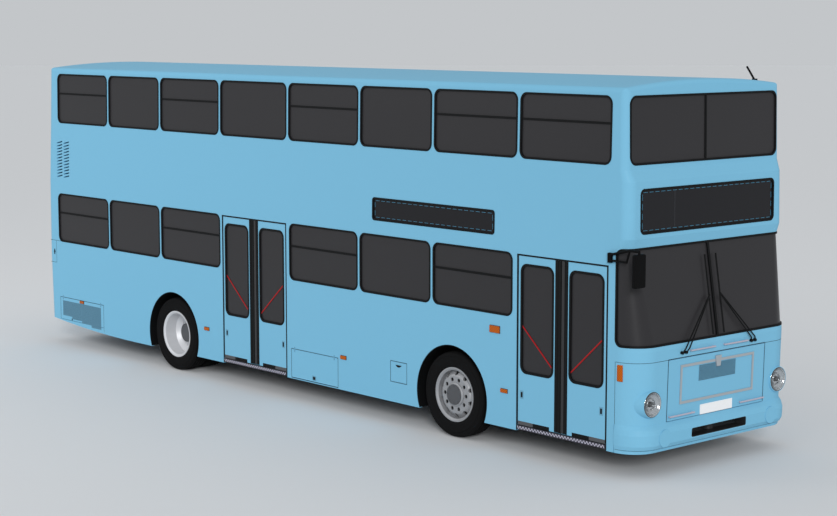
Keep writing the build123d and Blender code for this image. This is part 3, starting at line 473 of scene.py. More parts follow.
# %% Finishes and places on a leaf
bar_red = new_material("red powder coat", "#A3161A", Roughness=0.5, IOR=1.5, Specular_IOR_Level=0.2)
fitting_blue = new_material("darker blue paint on fittings", "#659DB9", Roughness=0.6, IOR=1.5)
# The bead's grey, lighter than the other rubber, is a painted highlight.
highlight_bead = new_material("lighter satin rubber, painted highlight", "#1E1E20", Roughness=0.35, IOR=1.52)

OUTWARD = (0, -1, 0)
LEAF_TRIM_Y, LEAF_FACE_Y, LEAF_BACK_Y = -1.2475, -1.2465, -1.2070
TRIM_Z, STRIP_Z = (0.328, 2.139), (0.330, 2.137)
LOCK_X = 64 * MM
LOCK_Z, LOCK_PLATE_Z = (0.626, 0.682), (0.610, 0.698)
BAR_HINGE_Z, BAR_CLOSING_Z = 1.40, 0.98
KICK_Z = (0.3255, 0.366)
KICK_JOINT, KICK_END, KICK_START = 230 * MM, 160 * MM, 10 * MM


def add_strip(mesh, x_start, x_end, heights, proud=0.0, back=LEAF_FACE_Y + 2 * MM, bevel=0.0):
    """A block on a leaf between two places along X, in either order."""
    x_near, x_far = sorted((x_start, x_end))
    add_block(mesh, (x_near, LEAF_TRIM_Y - proud, heights[0]), (x_far, back, heights[1]), bevel)


# %% [markdown]
# Places on a leaf are counted from its hinge edge or its closing edge. `way` is 1 where the
# closing edge is the front one and -1 where it is the rear one.

# %% Rubbers and fittings of a leaf
def add_leaf_rubbers(leaf, pane_low, pane_high, closing, way):
    """The window's frame, and raised strips on a base that returns round the closing edge."""
    middle, half = (pane_low + pane_high) / 2, (pane_high - pane_low) / 2
    middle.y = LEAF_TRIM_Y - 3 * MM
    draw_piece(f"{leaf}_window_rubber", window_rubber, leaf, add_ring, middle, OUTWARD,
               (half.x + 5 * MM, half.z + 5 * MM), 90 * MM, 26 * MM, 28 * MM)
    mesh = bmesh.new()
    for start, stop in ((4, 38), (50, 88)) if way > 0 else ((50, 88),):
        add_strip(mesh, closing - way * start * MM, closing - way * stop * MM, STRIP_Z, 3 * MM, bevel=2 * MM)
    add_strip(mesh, closing, closing - way * 90 * MM, TRIM_Z)
    add_strip(mesh, closing, closing + way * 2 * MM, TRIM_Z, back=LEAF_BACK_Y)
    finish_piece(mesh, f"{leaf}_closing_rubber", window_rubber, leaf)
    if way < 0:
        # This strip's lighter grey is a painted highlight.
        draw_piece(f"{leaf}_closing_bead_highlight", highlight_bead, leaf, add_strip, closing + 2 * MM, closing + 40 * MM,
                   STRIP_Z, 3 * MM, bevel=2 * MM)


def add_leaf_fittings(leaf, pane_low, pane_high, hinge, closing, way):
    """The lock and a thin edge at the hinge, the slanting safety bar, the plates, and a black block of painted
    shade for the kick slot.
    """
    lock_x, joint = hinge + way * LOCK_X, hinge + way * KICK_JOINT
    mesh = bmesh.new()
    add_strip(mesh, lock_x - 13 * MM, lock_x + 13 * MM, LOCK_Z, 3 * MM, LEAF_FACE_Y, 1.5 * MM)
    add_strip(mesh, hinge, hinge + way * 9 * MM, TRIM_Z)
    finish_piece(mesh, f"{leaf}_lock_and_edges", window_rubber, leaf)
    ends = [pane_low.x + 8 * MM, pane_high.x - 8 * MM][::way]
    y = pane_low.y - 4 * MM
    draw_piece(f"{leaf}_safety_bar", bar_red, leaf, add_bar, (ends[0], y, BAR_HINGE_Z),
               (ends[1], y, BAR_CLOSING_Z), 14 * MM, 5 * MM, OUTWARD)
    for name, material, start, end, heights, proud, bevel in (
        ("lock_plate", fitting_blue, lock_x - 26 * MM, lock_x + 26 * MM, LOCK_PLATE_Z, 1, 1),
        # The kick slot is a black block: painted shade of the slot's recess.
        ("kick_slot_shade", window_rubber, closing - way * KICK_END, joint, KICK_Z, 0.5, 0.8),
        ("kick_plate", cap_steel, hinge + way * KICK_START, joint, KICK_Z, 0.5, 0.8),
    ):
        draw_piece(f"{leaf}_{name}", material, leaf, add_strip, start, end, heights, proud * MM, LEAF_FACE_Y,
                   bevel * MM)


# %% Trim of the door leaves
for doorway in ("front", "middle"):
    for place, way in (("rear", 1), ("fore", -1)):
        leaf = f"{doorway}_leaf_{place}"
        low, high = span(leaf)
        pane_low, pane_high = span(f"{doorway}_pane_{place}")
        closing, hinge = (high.x, low.x) if way > 0 else (low.x, high.x)
        add_leaf_rubbers(leaf, pane_low, pane_high, closing, way)
        add_leaf_fittings(leaf, pane_low, pane_high, hinge, closing, way)

# %% [markdown]
# ## Step edges and doorway edges
#
# The edge of each step is chequered aluminium plate, whose raised lozenges are worn bright:
# short bars that lean to and fro. A black rubber strip covers the gap around each doorway.

# %% Doorway and step measures
# The plate behind the lozenges is a dark grey.
step_plate = new_material("dark grey aluminium plate", "#3A3944", Metallic=0.3, Roughness=0.6)
worn_lozenge = new_material("worn aluminium lozenges", "#CFCCDC", Metallic=0.3, Roughness=0.4)
HALF_WIDTH = 1.2500
SIDE_Y = -HALF_WIDTH
EDGE_WIDE = 15 * MM
EDGE_FOOT, EDGE_LINTEL, EDGE_TOP = 0.262, 2.140, 2.157
STEP_Y, STEP_Z = -1.2485, (0.271, 0.317)
LOZENGE_Z, LOZENGE_PITCH = 0.294, 22 * MM


def add_side_block(mesh, along, heights, out, back=1 * MM, bevel=0.0):
    """A block that stands out of the right side and reaches back into it."""
    low, high = (along[0], SIDE_Y - out, heights[0]), (along[1], SIDE_Y + back, heights[1])
    add_block(mesh, low, high, bevel)


# %% Step edges and doorway edges
for doorway in ("front", "middle"):
    low = span(f"{doorway}_leaf_rear")[0]
    high = span(f"{doorway}_leaf_fore")[1]
    outer = (low.x - EDGE_WIDE, high.x + EDGE_WIDE)
    mesh = bmesh.new()
    for along in ((outer[0], low.x - 1 * MM), (high.x + 1 * MM, outer[1])):
        add_side_block(mesh, along, (EDGE_FOOT, EDGE_TOP), 1.5 * MM)
    add_side_block(mesh, outer, (EDGE_LINTEL, EDGE_TOP), 1.5 * MM)
    finish_piece(mesh, f"{doorway}_doorway_edge", window_rubber)
    draw_piece(f"{doorway}_step_edge", step_plate, "body", add_block, (low.x, STEP_Y - 1 * MM, STEP_Z[0]),
               (high.x, STEP_Y + 0.3 * MM, STEP_Z[1]))
    mesh = bmesh.new()
    for i in range(int((high.x - low.x) / LOZENGE_PITCH)):
        lean = 1 if i % 2 else -1
        spot = Vector((low.x + (i + 0.5) * LOZENGE_PITCH, STEP_Y - 1 * MM, LOZENGE_Z))
        reach = Vector((9 * MM * lean, 0, 15 * MM))
        add_bar(mesh, spot - reach, spot + reach, 8 * MM, 1 * MM, OUTWARD)
    finish_piece(mesh, f"{doorway}_step_lozenges", worn_lozenge)

# %% [markdown]
# ## The face of the bus
#
# The hatch in the front mask carries a silver moulding, an air inlet with wire mesh and the
# blank number plate. How far forward they sit depends on their height, because the mask
# slopes, so one function gives the slope.

# %% Slope of the mask
MASK_FOOT, MASK_HEAD = Vector((5.585, 0, 0.257)), Vector((5.612, 0, 1.300))


def mask_x(z):
    """X of the flat part of the mask at a height."""
    share = (z - MASK_FOOT.z) / (MASK_HEAD.z - MASK_FOOT.z)
    return MASK_FOOT.x + share * (MASK_HEAD.x - MASK_FOOT.x)


def on_mask(y, z, out=0.0):
    """A place on or before the flat mask."""
    return Vector((mask_x(z) + out, y, z))


# %% Hatch moulding and handle
FORWARD = (1, 0, 0)
MOULDING_HALF, MOULDING_LOW, MOULDING_HIGH, MOULDING_WIDE = 0.580, 0.722, 1.103, 0.027
edge = MOULDING_WIDE / 2
mesh = bmesh.new()
for z in (MOULDING_LOW, MOULDING_HIGH):
    add_bar(mesh, on_mask(-MOULDING_HALF - edge, z, 4 * MM), on_mask(MOULDING_HALF + edge, z, 4 * MM),
            MOULDING_WIDE, 10 * MM, FORWARD)
for y in (-MOULDING_HALF, MOULDING_HALF):
    add_bar(mesh, on_mask(y, MOULDING_LOW + edge, 4 * MM), on_mask(y, MOULDING_HIGH - edge, 4 * MM),
            MOULDING_WIDE, 10 * MM, FORWARD)
finish_piece(mesh, "hatch_moulding", bright_aluminium, "front_hatch")

# The handle narrows towards its foot
HANDLE_HALF, HANDLE_FOOT, HANDLE_HEAD, HANDLE_TAPER = 0.048, 1.036, 1.152, 0.62
root = mask_x((HANDLE_FOOT + HANDLE_HEAD) / 2)
mesh = bmesh.new()
add_block(mesh, (root - 2 * MM, -HANDLE_HALF, HANDLE_FOOT), (root + 20 * MM, HANDLE_HALF, HANDLE_HEAD), 6 * MM)
foot = [vert for vert in mesh.verts if vert.co.z < (HANDLE_FOOT + HANDLE_HEAD) / 2]
bmesh.ops.scale(mesh, vec=(1, HANDLE_TAPER, 1), verts=foot)
finish_piece(mesh, "hatch_handle", bright_aluminium, "front_hatch")

# %% [markdown]
# The wires of the mesh are drawn 12 mm apart and 4 mm thick, which is coarser than the real
# mesh but shows as one. Behind them lies a dark, matt backing: painted shade of the inlet.

# %% Wire mesh
# The backing is painted shade: the dark inside of the inlet.
inlet_shade = new_material("painted shade of air inlet", "#1F3542", Roughness=0.8)
VENT_HALF, VENT_LOW, VENT_HIGH = 0.296, 0.916, 1.078
MESH_PITCH, WIRE = 12 * MM, 2 * MM
draw_piece("front_vent_shade_backing", inlet_shade, "front_hatch", add_bar, on_mask(0, VENT_LOW, 0.5 * MM),
           on_mask(0, VENT_HIGH, 0.5 * MM), 2 * VENT_HALF, 1 * MM, FORWARD)
mesh = bmesh.new()
for i in range(int(2 * VENT_HALF / MESH_PITCH) + 1):
    y = -VENT_HALF + i * MESH_PITCH
    add_rod(mesh, on_mask(y, VENT_LOW, 3 * MM), on_mask(y, VENT_HIGH, 3 * MM), WIRE, 4)
for i in range(int((VENT_HIGH - VENT_LOW) / MESH_PITCH) + 1):
    z = VENT_LOW + i * MESH_PITCH
    add_rod(mesh, on_mask(-VENT_HALF, z, 3 * MM), on_mask(VENT_HALF, z, 3 * MM), WIRE, 4)
# The wires' darker blue is painted shade from the dark inlet behind them.
finish_piece(mesh, "front_vent_mesh", fitting_blue, "front_hatch")

# %% Number plate
PLATE_HALF, PLATE_Z, PLATE_HIGH = 0.260, 0.608, 0.104
plate_white = new_material("white plate enamel", "#F2F3F4", Roughness=0.35, IOR=1.5)
draw_piece("front_number_plate", plate_white, "front_hatch", add_bar, on_mask(-PLATE_HALF, PLATE_Z, 3 * MM),
           on_mask(PLATE_HALF, PLATE_Z, 3 * MM), PLATE_HIGH, 6 * MM, FORWARD)

# %% [markdown]
# ## Grips
#
# Short tubes on two feet, coated with pale grey nylon, help a mechanic climb to the wipers.
# The upper pair rides on the body, and the lower pair on the hatch.

# %% Grips
grip_grey = new_material("grey nylon coating", "#B5B0BE", Roughness=0.5)
for name, body, z, spans in (
    ("upper_grips", "body", 1.255, ((-0.462, -0.075), (0.075, 0.462))),
    ("lower_grips", "front_hatch", 0.600, ((-0.765, -0.372), (0.372, 0.765))),
):
    mesh = bmesh.new()
    for start, end in spans:
        add_rod(mesh, on_mask(start, z, 26 * MM), on_mask(end, z, 26 * MM), 9 * MM, 12)
        for y in (start + 15 * MM, end - 15 * MM):
            add_rod(mesh, on_mask(y, z, -1 * MM), on_mask(y, z, 28 * MM), 8 * MM, 10)
    finish_piece(mesh, name, grip_grey, body)

# %% [markdown]
# ## Splash panel
#
# A black steel panel behind the slot of the bumper keeps road water off the frame. Its black
# is also painted shade, seen through the slot.

# %% Splash panel
# The panel's black is also painted shade, seen through the slot.
draw_piece("splash_panel_shade", chassis_black, "body", add_block, (5.432, -0.900, 0.270), (5.438, 0.900, 0.545))

# %% [markdown]
# ## Bumper edges
#
# The slot has a black lining: painted shade over its inner walls. Near its foot the bumper
# has a narrow rubber lip, whose upper edge is a thin line of painted shade all the way round,
# found by looking at the bumper from outside.

# %% Lines on curved panels
panel_gap = new_material("shadowed panel gap", "#27404D", Roughness=0.8)
CORNER_CENTRE = (5.320, 0.960)


def ahead(node, y, z):
    """The place where a solid is met from the front."""
    return surface(node, (7.0, y, z), (-1, 0, 0))


def round_corner(node, z, side):
    """Level places round a front corner of a solid, from its front to its side."""
    aim = Vector((CORNER_CENTRE[0], side * CORNER_CENTRE[1], z))
    places = []
    for angle in range(0, 91, 6):
        out = Vector((math.cos(math.radians(angle)), side * math.sin(math.radians(angle)), 0))
        places.append(surface(node, aim + out, -out))
    return places


def add_line(mesh, points, width, thick):
    """A level strip from point to point, broad side outwards."""
    for start, end in zip(points, points[1:]):
        run = end - start
        add_bar(mesh, start, end, width, thick, (run.y, -run.x, 0))


# %% Bumper slot and lip
SLOT_Z, SLOT_HALF = 0.3995, (0.4435, 0.048)
BESIDE_SLOT = (0.700, 0.400)
LIP_Z = 0.296
slot_face = ahead("bumpers", *BESIDE_SLOT).x
# The lining is painted shade over the slot's inner walls.
draw_piece("bumper_slot_shade_lining", chassis_black, "body", add_ring, (slot_face - 0.5 * MM, 0, SLOT_Z), FORWARD,
           SLOT_HALF, 22 * MM, 5 * MM, 140 * MM)
points = [ahead("bumpers", y, LIP_Z) for y in (-0.90, -0.45, 0.0, 0.45, 0.90)]
points = round_corner("bumpers", LIP_Z, RIGHT)[::-1] + points + round_corner("bumpers", LIP_Z, LEFT)
# The lip's edge is a line of painted shade.
draw_piece("bumper_lip_line", panel_gap, "body", add_line, points, 5 * MM, 1 * MM)

# %% [markdown]
# The mask has a seam on both sides of the hatch, level with its top, which runs round the
# corner to an upright seam.

# %% Mask seams
SEAM_FOOT, SEAM_TOP, SEAM_X, HATCH_SIDE = 0.552, 1.190, 5.310, 0.783
mesh = bmesh.new()
for side in (RIGHT, LEFT):
    points = [ahead("front_mask", side * HATCH_SIDE, SEAM_TOP + 6 * MM)]
    points += round_corner("front_mask", SEAM_TOP + 6 * MM, side)
    add_line(mesh, [Vector((point.x, point.y, SEAM_TOP)) for point in points], 5 * MM, 0.8 * MM)
    y = side * (HALF_WIDTH + 0.1 * MM)
    add_bar(mesh, (SEAM_X, y, SEAM_FOOT), (SEAM_X, y, SEAM_TOP), 5 * MM, 0.8 * MM, (0, side, 0))
    y = side * HATCH_SIDE
    add_bar(mesh, on_mask(y, SEAM_FOOT, 0.5 * MM), on_mask(y, SEAM_TOP, 0.5 * MM), 7 * MM, 1 * MM, FORWARD)
top = on_mask(0, SEAM_TOP + 4 * MM, 0.5 * MM)
reach = Vector((0, HATCH_SIDE, 0))
add_bar(mesh, top - reach, top + reach, 6 * MM, 1 * MM, FORWARD)
finish_piece(mesh, "mask_seams", panel_gap)

# %% [markdown]
# ## Headlamps
#
# A round lamp is a clear lens over a silvered bowl, with a shield around the bulb. Each is an
# outline turned about the lamp's axis. Fine upright flutes in the lens spread the light; they
# are drawn as bump, 9 mm apart.

# %% Headlamp glass and silver
FLUTE_PITCH = 9 * MM
silvered = new_material("silvered reflector", "#D8DADC", Metallic=1.0, Roughness=0.16)
clear_lens = new_material("clear fluted glass", "#F4F6F7", Roughness=0.04, IOR=1.45,
                          Transmission_Weight=1.0)
flutes = add_texture(clear_lens, "TexWave", {"bands_direction": "Y", "Scale": WAVE_PITCH / FLUTE_PITCH})
ridge = add_node(clear_lens, "Bump", {"Strength": 0.25, "Distance": 1 * MM}, {"Height": flutes["Fac"]})
feed_shader(clear_lens, "Normal", ridge.outputs["Normal"])

# %% Headlamps
LAMP_Y, LAMP_Z = 1.020, 0.764
# Outlines: place along X and radius
BOWL = (
    (5.6146, 0.131), (5.6146, 0.113), (5.604, 0.111), (5.592, 0.094), (5.583, 0.068), (5.578, 0.034),
    (5.577, 0.0), (5.575, 0.0), (5.575, 0.1165), (5.6142, 0.1165), (5.6142, 0.131),
)
SHIELD = ((5.577, 0.030), (5.600, 0.026), (5.604, 0.016), (5.604, 0.0), (5.577, 0.0))
RING = ((5.590, 0.066), (5.597, 0.062), (5.596, 0.056), (5.582, 0.060))
LENS = (
    (5.6147, 0.130), (5.6160, 0.124), (5.6195, 0.065), (5.622, 0.0), (5.620, 0.0), (5.6178, 0.063),
    (5.6153, 0.116), (5.6147, 0.120),
)
for name, profiles, material in (
    ("bowls", (BOWL, RING), silvered), ("bulb_shields", (SHIELD,), cap_steel), ("lenses", (LENS,), clear_lens),
):
    mesh = bmesh.new()
    for side in (LEFT, RIGHT):
        for profile in profiles:
            points = [(x, side * LAMP_Y, LAMP_Z + radius) for x, radius in profile]
            spin_outline(mesh, points, (0, side * LAMP_Y, LAMP_Z), (1, 0, 0), 48)
    piece = finish_piece(mesh, f"headlamp_{name}", material, smooth=name != "bulb_shields")
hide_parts("headlamps")

# %% [markdown]
# ## Side markers
#
# Each amber lens sits in a dark rubber base, which shows as a thin edge. The lamps at the
# corners of the mask are narrower and domed, and follow the curve of the panel. The rearmost
# lamp is on the radiator flap and swings with it.

# %% Markers
# Place along X, height, length and width of each base; the last lamp is the large indicator
MARKER_BASES = (
    (-1.755, 0.651, 0.108, 0.048), (1.016, 0.650, 0.108, 0.048), (3.722, 0.656, 0.108, 0.048),
    (3.575, 1.308, 0.158, 0.082),
)


def add_marker(mesh, base, side, near, far, margin=0.0, bevel=0.0):
    """A block from near to far outwards, a margin smaller than a base."""
    x, z, length, height = base
    y_near, y_far = sorted((side * (HALF_WIDTH + near), side * (HALF_WIDTH + far)))
    reach_x, reach_z = length / 2 - margin, height / 2 - margin
    add_block(mesh, (x - reach_x, y_near, z - reach_z), (x + reach_x, y_far, z + reach_z), bevel)


CORNER_X, CORNER_Z, CORNER_MIDDLE_Z = (5.341, 5.404), (0.996, 1.165), 1.080
# How far the corner lens rises from rear to front in mm, and its share of that by height
DOME = (8, 12, 14, 14, 12, 8)
DOME_ROWS = ((CORNER_Z[0], 0.4), (CORNER_Z[0] + 8 * MM, 1.0), (CORNER_Z[1] - 8 * MM, 1.0), (CORNER_Z[1], 0.4))


def add_corner_lens(mesh, side):
    """A domed lens whose foot follows the corner of the mask."""
    step = (CORNER_X[1] - CORNER_X[0]) / 5
    feet = [surface("front_mask", (CORNER_X[0] + step * i, side * 3.0, CORNER_MIDDLE_Z), (0, -side, 0))
            for i in range(6)]
    rows = []
    for z, share in DOME_ROWS:
        inner = [mesh.verts.new((foot.x, foot.y - side * 1 * MM, z)) for foot in feet]
        outer = [mesh.verts.new((foot.x, foot.y + side * rise * share * MM, z))
                 for foot, rise in zip(feet, DOME)]
        rows.append(inner + outer[::-1])
    for low_row, high_row in zip(rows, rows[1:]):
        for i in range(len(low_row)):
            mesh.faces.new((low_row[i - 1], low_row[i], high_row[i], high_row[i - 1]))
    mesh.faces.new(rows[0])
    mesh.faces.new(rows[-1])


bases, lenses = bmesh.new(), bmesh.new()
for side in (RIGHT, LEFT):
    for base in MARKER_BASES:
        add_marker(bases, base, side, -1 * MM, 3 * MM, bevel=1.5 * MM)
        add_marker(lenses, base, side, 1 * MM, 14 * MM, margin=4 * MM, bevel=3 * MM)
    add_corner_lens(lenses, side)
finish_piece(bases, "side_marker_bases", window_rubber)
piece = finish_piece(lenses, "side_lamp_lenses", amber_lens)
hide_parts("side_lamps")

# %% Marker on the radiator flap
draw_piece("flap_marker_base", window_rubber, "radiator_flap", add_side_block, (-4.843, -4.735), (0.630, 0.672),
           3 * MM, bevel=1.5 * MM)
draw_piece("flap_marker", amber_lens, "radiator_flap", add_side_block, (-4.839, -4.739), (0.635, 0.669),
           12 * MM, -2 * MM, 3 * MM)

# %% [markdown]
# ## Panel gaps
#
# A gap between panels shows as a thin dark line. Each flap gets such a line around it, on the
# body beside the flap.

# %% Panel gaps
LINE_Y = SIDE_Y - 0.3 * MM
SKIRT_Z = 0.290
# Along X, heights, and whether the gap shows under the flap
FLAP_SPANS = {
    "battery_flap": ((0.015, 0.912), (0.270, 0.630), True),
    "filler_flap": ((1.861, 2.144), (0.490, 0.733), True),
    "radiator_flap": ((-5.366, -4.227), (0.350, 0.675), False),
}
# The panel behind the rear wheels has three edges
lines = [
    ((-5.600, 1.478), (-5.180, 1.478)),
    ((-5.446, 1.161), (-5.446, 1.478)),
    ((-5.600, 1.161), (-5.446, 1.161)),
]
for (x_near, x_far), (low_z, high_z), has_foot in FLAP_SPANS.values():
    lines += [((x_near, high_z), (x_far, high_z)), ((x_near, low_z), (x_near, high_z))]
    lines.append(((x_far, low_z if has_foot else SKIRT_Z), (x_far, high_z)))
    if has_foot:
        lines.append(((x_near, low_z), (x_far, low_z)))
mesh = bmesh.new()
for (x_start, z_start), (x_end, z_end) in lines:
    add_bar(mesh, (x_start, LINE_Y, z_start), (x_end, LINE_Y, z_end), 5 * MM, 0.6 * MM, OUTWARD)
finish_piece(mesh, "panel_gaps", panel_gap)

# %% [markdown]
# ## Flap fittings
#
# Flaps hang on pairs of small hinges and close with a flush latch; the filler flap has a half
# round finger pull instead. The radiator flap is cut out for wire mesh, whose lower edge
# steps down towards the front.

# %% Flap hinges
for flap, places in (("battery_flap", (0.080, 0.841)), ("radiator_flap", (-5.290, -4.303))):
    top = span(flap)[1].z
    pin = Vector((0, SIDE_Y - 2 * MM, top + 3 * MM))
    fixed, moving = bmesh.new(), bmesh.new()
    for x in places:
        along = (x - 9 * MM, x + 9 * MM)
        add_side_block(fixed, along, (pin.z + 2 * MM, pin.z + 26 * MM), 3.5 * MM)
        add_rod(fixed, (x - 11 * MM, pin.y, pin.z), (x + 11 * MM, pin.y, pin.z), 3 * MM, 10)
        add_side_block(moving, along, (top - 30 * MM, top - 4 * MM), 3.5 * MM)
    finish_piece(fixed, f"{flap}_hinge_knuckles", fitting_blue)
    finish_piece(moving, f"{flap}_hinge_leaves", fitting_blue, flap)

# %% Latches
# Piece, material, flap, along X, heights, how far it stands out and reaches in, bevel
for name, material, flap, along, heights, out, back, bevel in (
    ("battery_flap_latch", window_rubber, "battery_flap", (0.434, 0.480), (0.301, 0.337), 3, 1, 3),
    ("battery_flap_latch_plate", fitting_blue, "battery_flap", (0.420, 0.494), (0.289, 0.349), 1, 1, 1),
    ("radiator_flap_latch", window_rubber, "radiator_flap", (-5.072, -5.054), (0.361, 0.386), 4, 0, 2),
):
    draw_piece(name, material, flap, add_side_block, along, heights, out * MM, back * MM, bevel * MM)


def add_disc(mesh, x, z, radius, sides):
    """A flat disc on the right side."""
    add_rod(mesh, (x, SIDE_Y + 1 * MM, z), (x, SIDE_Y - 3 * MM, z), radius, sides)


# The finger pull is the lower part of a disc
PULL_X, PULL_Z, PULL_RADIUS, PULL_CUT_Z = 2.002, 0.732, 63 * MM, 0.694
mesh = bmesh.new()
add_disc(mesh, PULL_X, PULL_Z, PULL_RADIUS, 48)
bmesh.ops.bisect_plane(mesh, geom=mesh.verts[:] + mesh.edges[:] + mesh.faces[:], plane_co=(0, 0, PULL_CUT_Z),
                       plane_no=(0, 0, 1), clear_outer=True)
bmesh.ops.holes_fill(mesh, edges=mesh.edges[:], sides=0)
finish_piece(mesh, "filler_flap_pull", window_rubber, "filler_flap")
mesh = bmesh.new()
add_disc(mesh, -5.495, 1.314, 20 * MM, 20)
add_side_block(mesh, (-5.505, -5.485), (1.275, 1.353), 5 * MM, 0.0, 3 * MM)
finish_piece(mesh, "rear_panel_latch", window_rubber)

# %% [markdown]
# The radiator's mesh is coarser than the one in front. It is painted in the body's colour,
# but looks darker, because the space behind it is dark.

# %% Radiator mesh
grille_blue = new_material("painted wire mesh in shadow", "#56849B", Roughness=0.7)
# Each step of the mesh along X, and its lower edge
RADIATOR_MESH = (
    (-5.303, -5.060, 0.412), (-5.060, -4.800, 0.380), (-4.800, -4.550, 0.350), (-4.550, -4.297, 0.318),
)
MESH_TOP, COARSE_PITCH, COARSE_WIRE = 0.626, 2 * MESH_PITCH, 1.5 * MM
wire_y = SIDE_Y - 2 * MM
mesh = bmesh.new()
wires = bmesh.new()
for start, end, low_z in RADIATOR_MESH:
    add_side_block(mesh, (start, end), (low_z, MESH_TOP), 1 * MM, -0.2 * MM)
    for i in range(int((end - start) / COARSE_PITCH)):
        x = start + (i + 0.5) * COARSE_PITCH
        add_rod(wires, (x, wire_y, low_z), (x, wire_y, MESH_TOP), COARSE_WIRE, 4)
    for i in range(int((MESH_TOP - low_z) / COARSE_PITCH)):
        z = MESH_TOP - (i + 0.5) * COARSE_PITCH
        add_rod(wires, (start, wire_y, z), (end, wire_y, z), COARSE_WIRE, 4)
finish_piece(mesh, "radiator_mesh_backing", grille_blue, "radiator_flap")
finish_piece(wires, "radiator_mesh", grille_blue, "radiator_flap")

# %% [markdown]
# ## The back of the bus
#
# The engine breathes through louvres in its hatch, each a hood with a black bar of painted
# shade below it, where its mouth is.
# Above them is the blank rear number plate with its lamp. The hatch has two latches at its
# foot, and a red reflector sits under each stack of lamps.

# %% Bars on the back
BACKWARD = (-1, 0, 0)


def on_back(node, y, z, out=0.0):
    """A place on or behind the back of the bus."""
    return surface(node, (-8.0, y, z), (1, 0, 0)) - Vector((out, 0, 0))


def add_back_bar(mesh, node, y_start, y_end, z, width, thick, out=0.0):
    """A level bar across the back of the bus."""
    add_bar(mesh, on_back(node, y_start, z, out), on_back(node, y_end, z, out), width, thick, BACKWARD)


# %% Louvres
LOUVRES, LOUVRE_FOOT, LOUVRE_PITCH = 9, 0.640, 42 * MM
hoods, louvre_shades = bmesh.new(), bmesh.new()
for i in range(LOUVRES):
    z = LOUVRE_FOOT + i * LOUVRE_PITCH
    for y_start, y_end in ((-0.660, -0.050), (0.050, 0.660)):
        add_back_bar(hoods, "engine_hatch", y_start, y_end, z, 14 * MM, 10 * MM, 3 * MM)
        # The black bars below the hoods are painted shade in the louvres' mouths.
        add_back_bar(louvre_shades, "engine_hatch", y_start, y_end, z - 13 * MM, 12 * MM, 2 * MM)
finish_piece(hoods, "engine_louvre_hoods", body_paint, "engine_hatch")
finish_piece(louvre_shades, "engine_louvre_shade_bars", window_rubber, "engine_hatch")

# %% Rear plate, latches and reflectors
REAR_PLATE_Z, REAR_PLATE_HIGH = 1.180, 0.110
PLATE_LAMP_Z, PLATE_LAMP_HALF = 1.262, 0.070
LATCH_Y, LATCH_HALF, LATCH_Z = 0.760, 0.025, 0.545
REFLECTOR_Y, REFLECTOR_HALF, REFLECTOR_Z = 1.050, 0.040, 0.620
draw_piece("rear_number_plate", plate_white, "engine_hatch", add_back_bar, "engine_hatch", -PLATE_HALF,
           PLATE_HALF, REAR_PLATE_Z, REAR_PLATE_HIGH, 6 * MM, 3 * MM)
mesh = bmesh.new()
add_back_bar(mesh, "engine_hatch", -PLATE_LAMP_HALF, PLATE_LAMP_HALF, PLATE_LAMP_Z, 30 * MM, 30 * MM, 14 * MM)
for y in (-LATCH_Y, LATCH_Y):
    add_back_bar(mesh, "engine_hatch", y - LATCH_HALF, y + LATCH_HALF, LATCH_Z, 46 * MM, 10 * MM, 4 * MM)
finish_piece(mesh, "plate_lamp_and_latches", black_abs, "engine_hatch")
mesh = bmesh.new()
for y in (-REFLECTOR_Y, REFLECTOR_Y):
    add_back_bar(mesh, "rear_wall", y - REFLECTOR_HALF, y + REFLECTOR_HALF, REFLECTOR_Z, 50 * MM, 7 * MM,
                 3 * MM)
finish_piece(mesh, "rear_reflectors", red_lens)

# %% Gap round the engine hatch
low, high = span("engine_hatch")
y_low, y_high = low.y - 8 * MM, high.y + 8 * MM
mesh = bmesh.new()
for z in (low.z - 4 * MM, high.z + 4 * MM):
    add_back_bar(mesh, "rear_wall", y_low, y_high, z, 4 * MM, 1 * MM)
for y in (y_low, y_high):
    add_bar(mesh, on_back("rear_wall", y, low.z), on_back("rear_wall", y, high.z), 4 * MM, 1 * MM, BACKWARD)
finish_piece(mesh, "engine_hatch_gap", panel_gap)

# %% [markdown]
# ## Wheel arch liners
#
# Black moulded liners follow each arch over the tyre and keep spray out of the frame. Behind
# each front wheel, black splash plates close the view under the floor: painted shade where
# the bright floor would show between tyre and arch.

# %% Wheel arch liners
ARCH_Z = 0.472
LINER = (0.563, 0.567)
LINER_START, LINER_SWEEP = math.radians(-21.5), math.radians(223)
mesh = bmesh.new()
for x, near in ((FRONT_AXLE_X, 0.430), (REAR_AXLE_X, 0.640)):
    for side in (LEFT, RIGHT):
        centre = Vector((x, 0, ARCH_Z))
        turn = Matrix.Rotation(-LINER_START, 3, "Y")
        section = ((LINER[0], HALF_WIDTH), (LINER[1], HALF_WIDTH), (LINER[1], near), (LINER[0], near))
        corners = [centre + turn @ Vector((radius, 0, 0)) + Vector((0, side * y, 0)) for radius, y in section]
        face = mesh.faces.new([mesh.verts.new(corner) for corner in corners])
        bmesh.ops.spin(mesh, geom=[face, *face.edges, *face.verts], cent=centre, axis=(0, -1, 0),
                       angle=LINER_SWEEP, steps=48)
bmesh.ops.holes_fill(mesh, edges=mesh.edges[:], sides=4)
finish_piece(mesh, "wheel_arch_liners", window_rubber)

# %% Splash plates
SPLASH_X, SPLASH_Y, SPLASH_Z = ((2.305, 2.635), (3.135, 3.465)), (0.384, 0.396), (0.250, 0.538)
# The plates are black as painted shade under the floor.
mesh = bmesh.new()
for side in (LEFT, RIGHT):
    near, far = sorted(side * y for y in SPLASH_Y)
    for low, high in SPLASH_X:
        add_block(mesh, (low, near, SPLASH_Z[0]), (high, far, SPLASH_Z[1]), 2 * MM)
finish_piece(mesh, "splash_shade_plates", chassis_black)

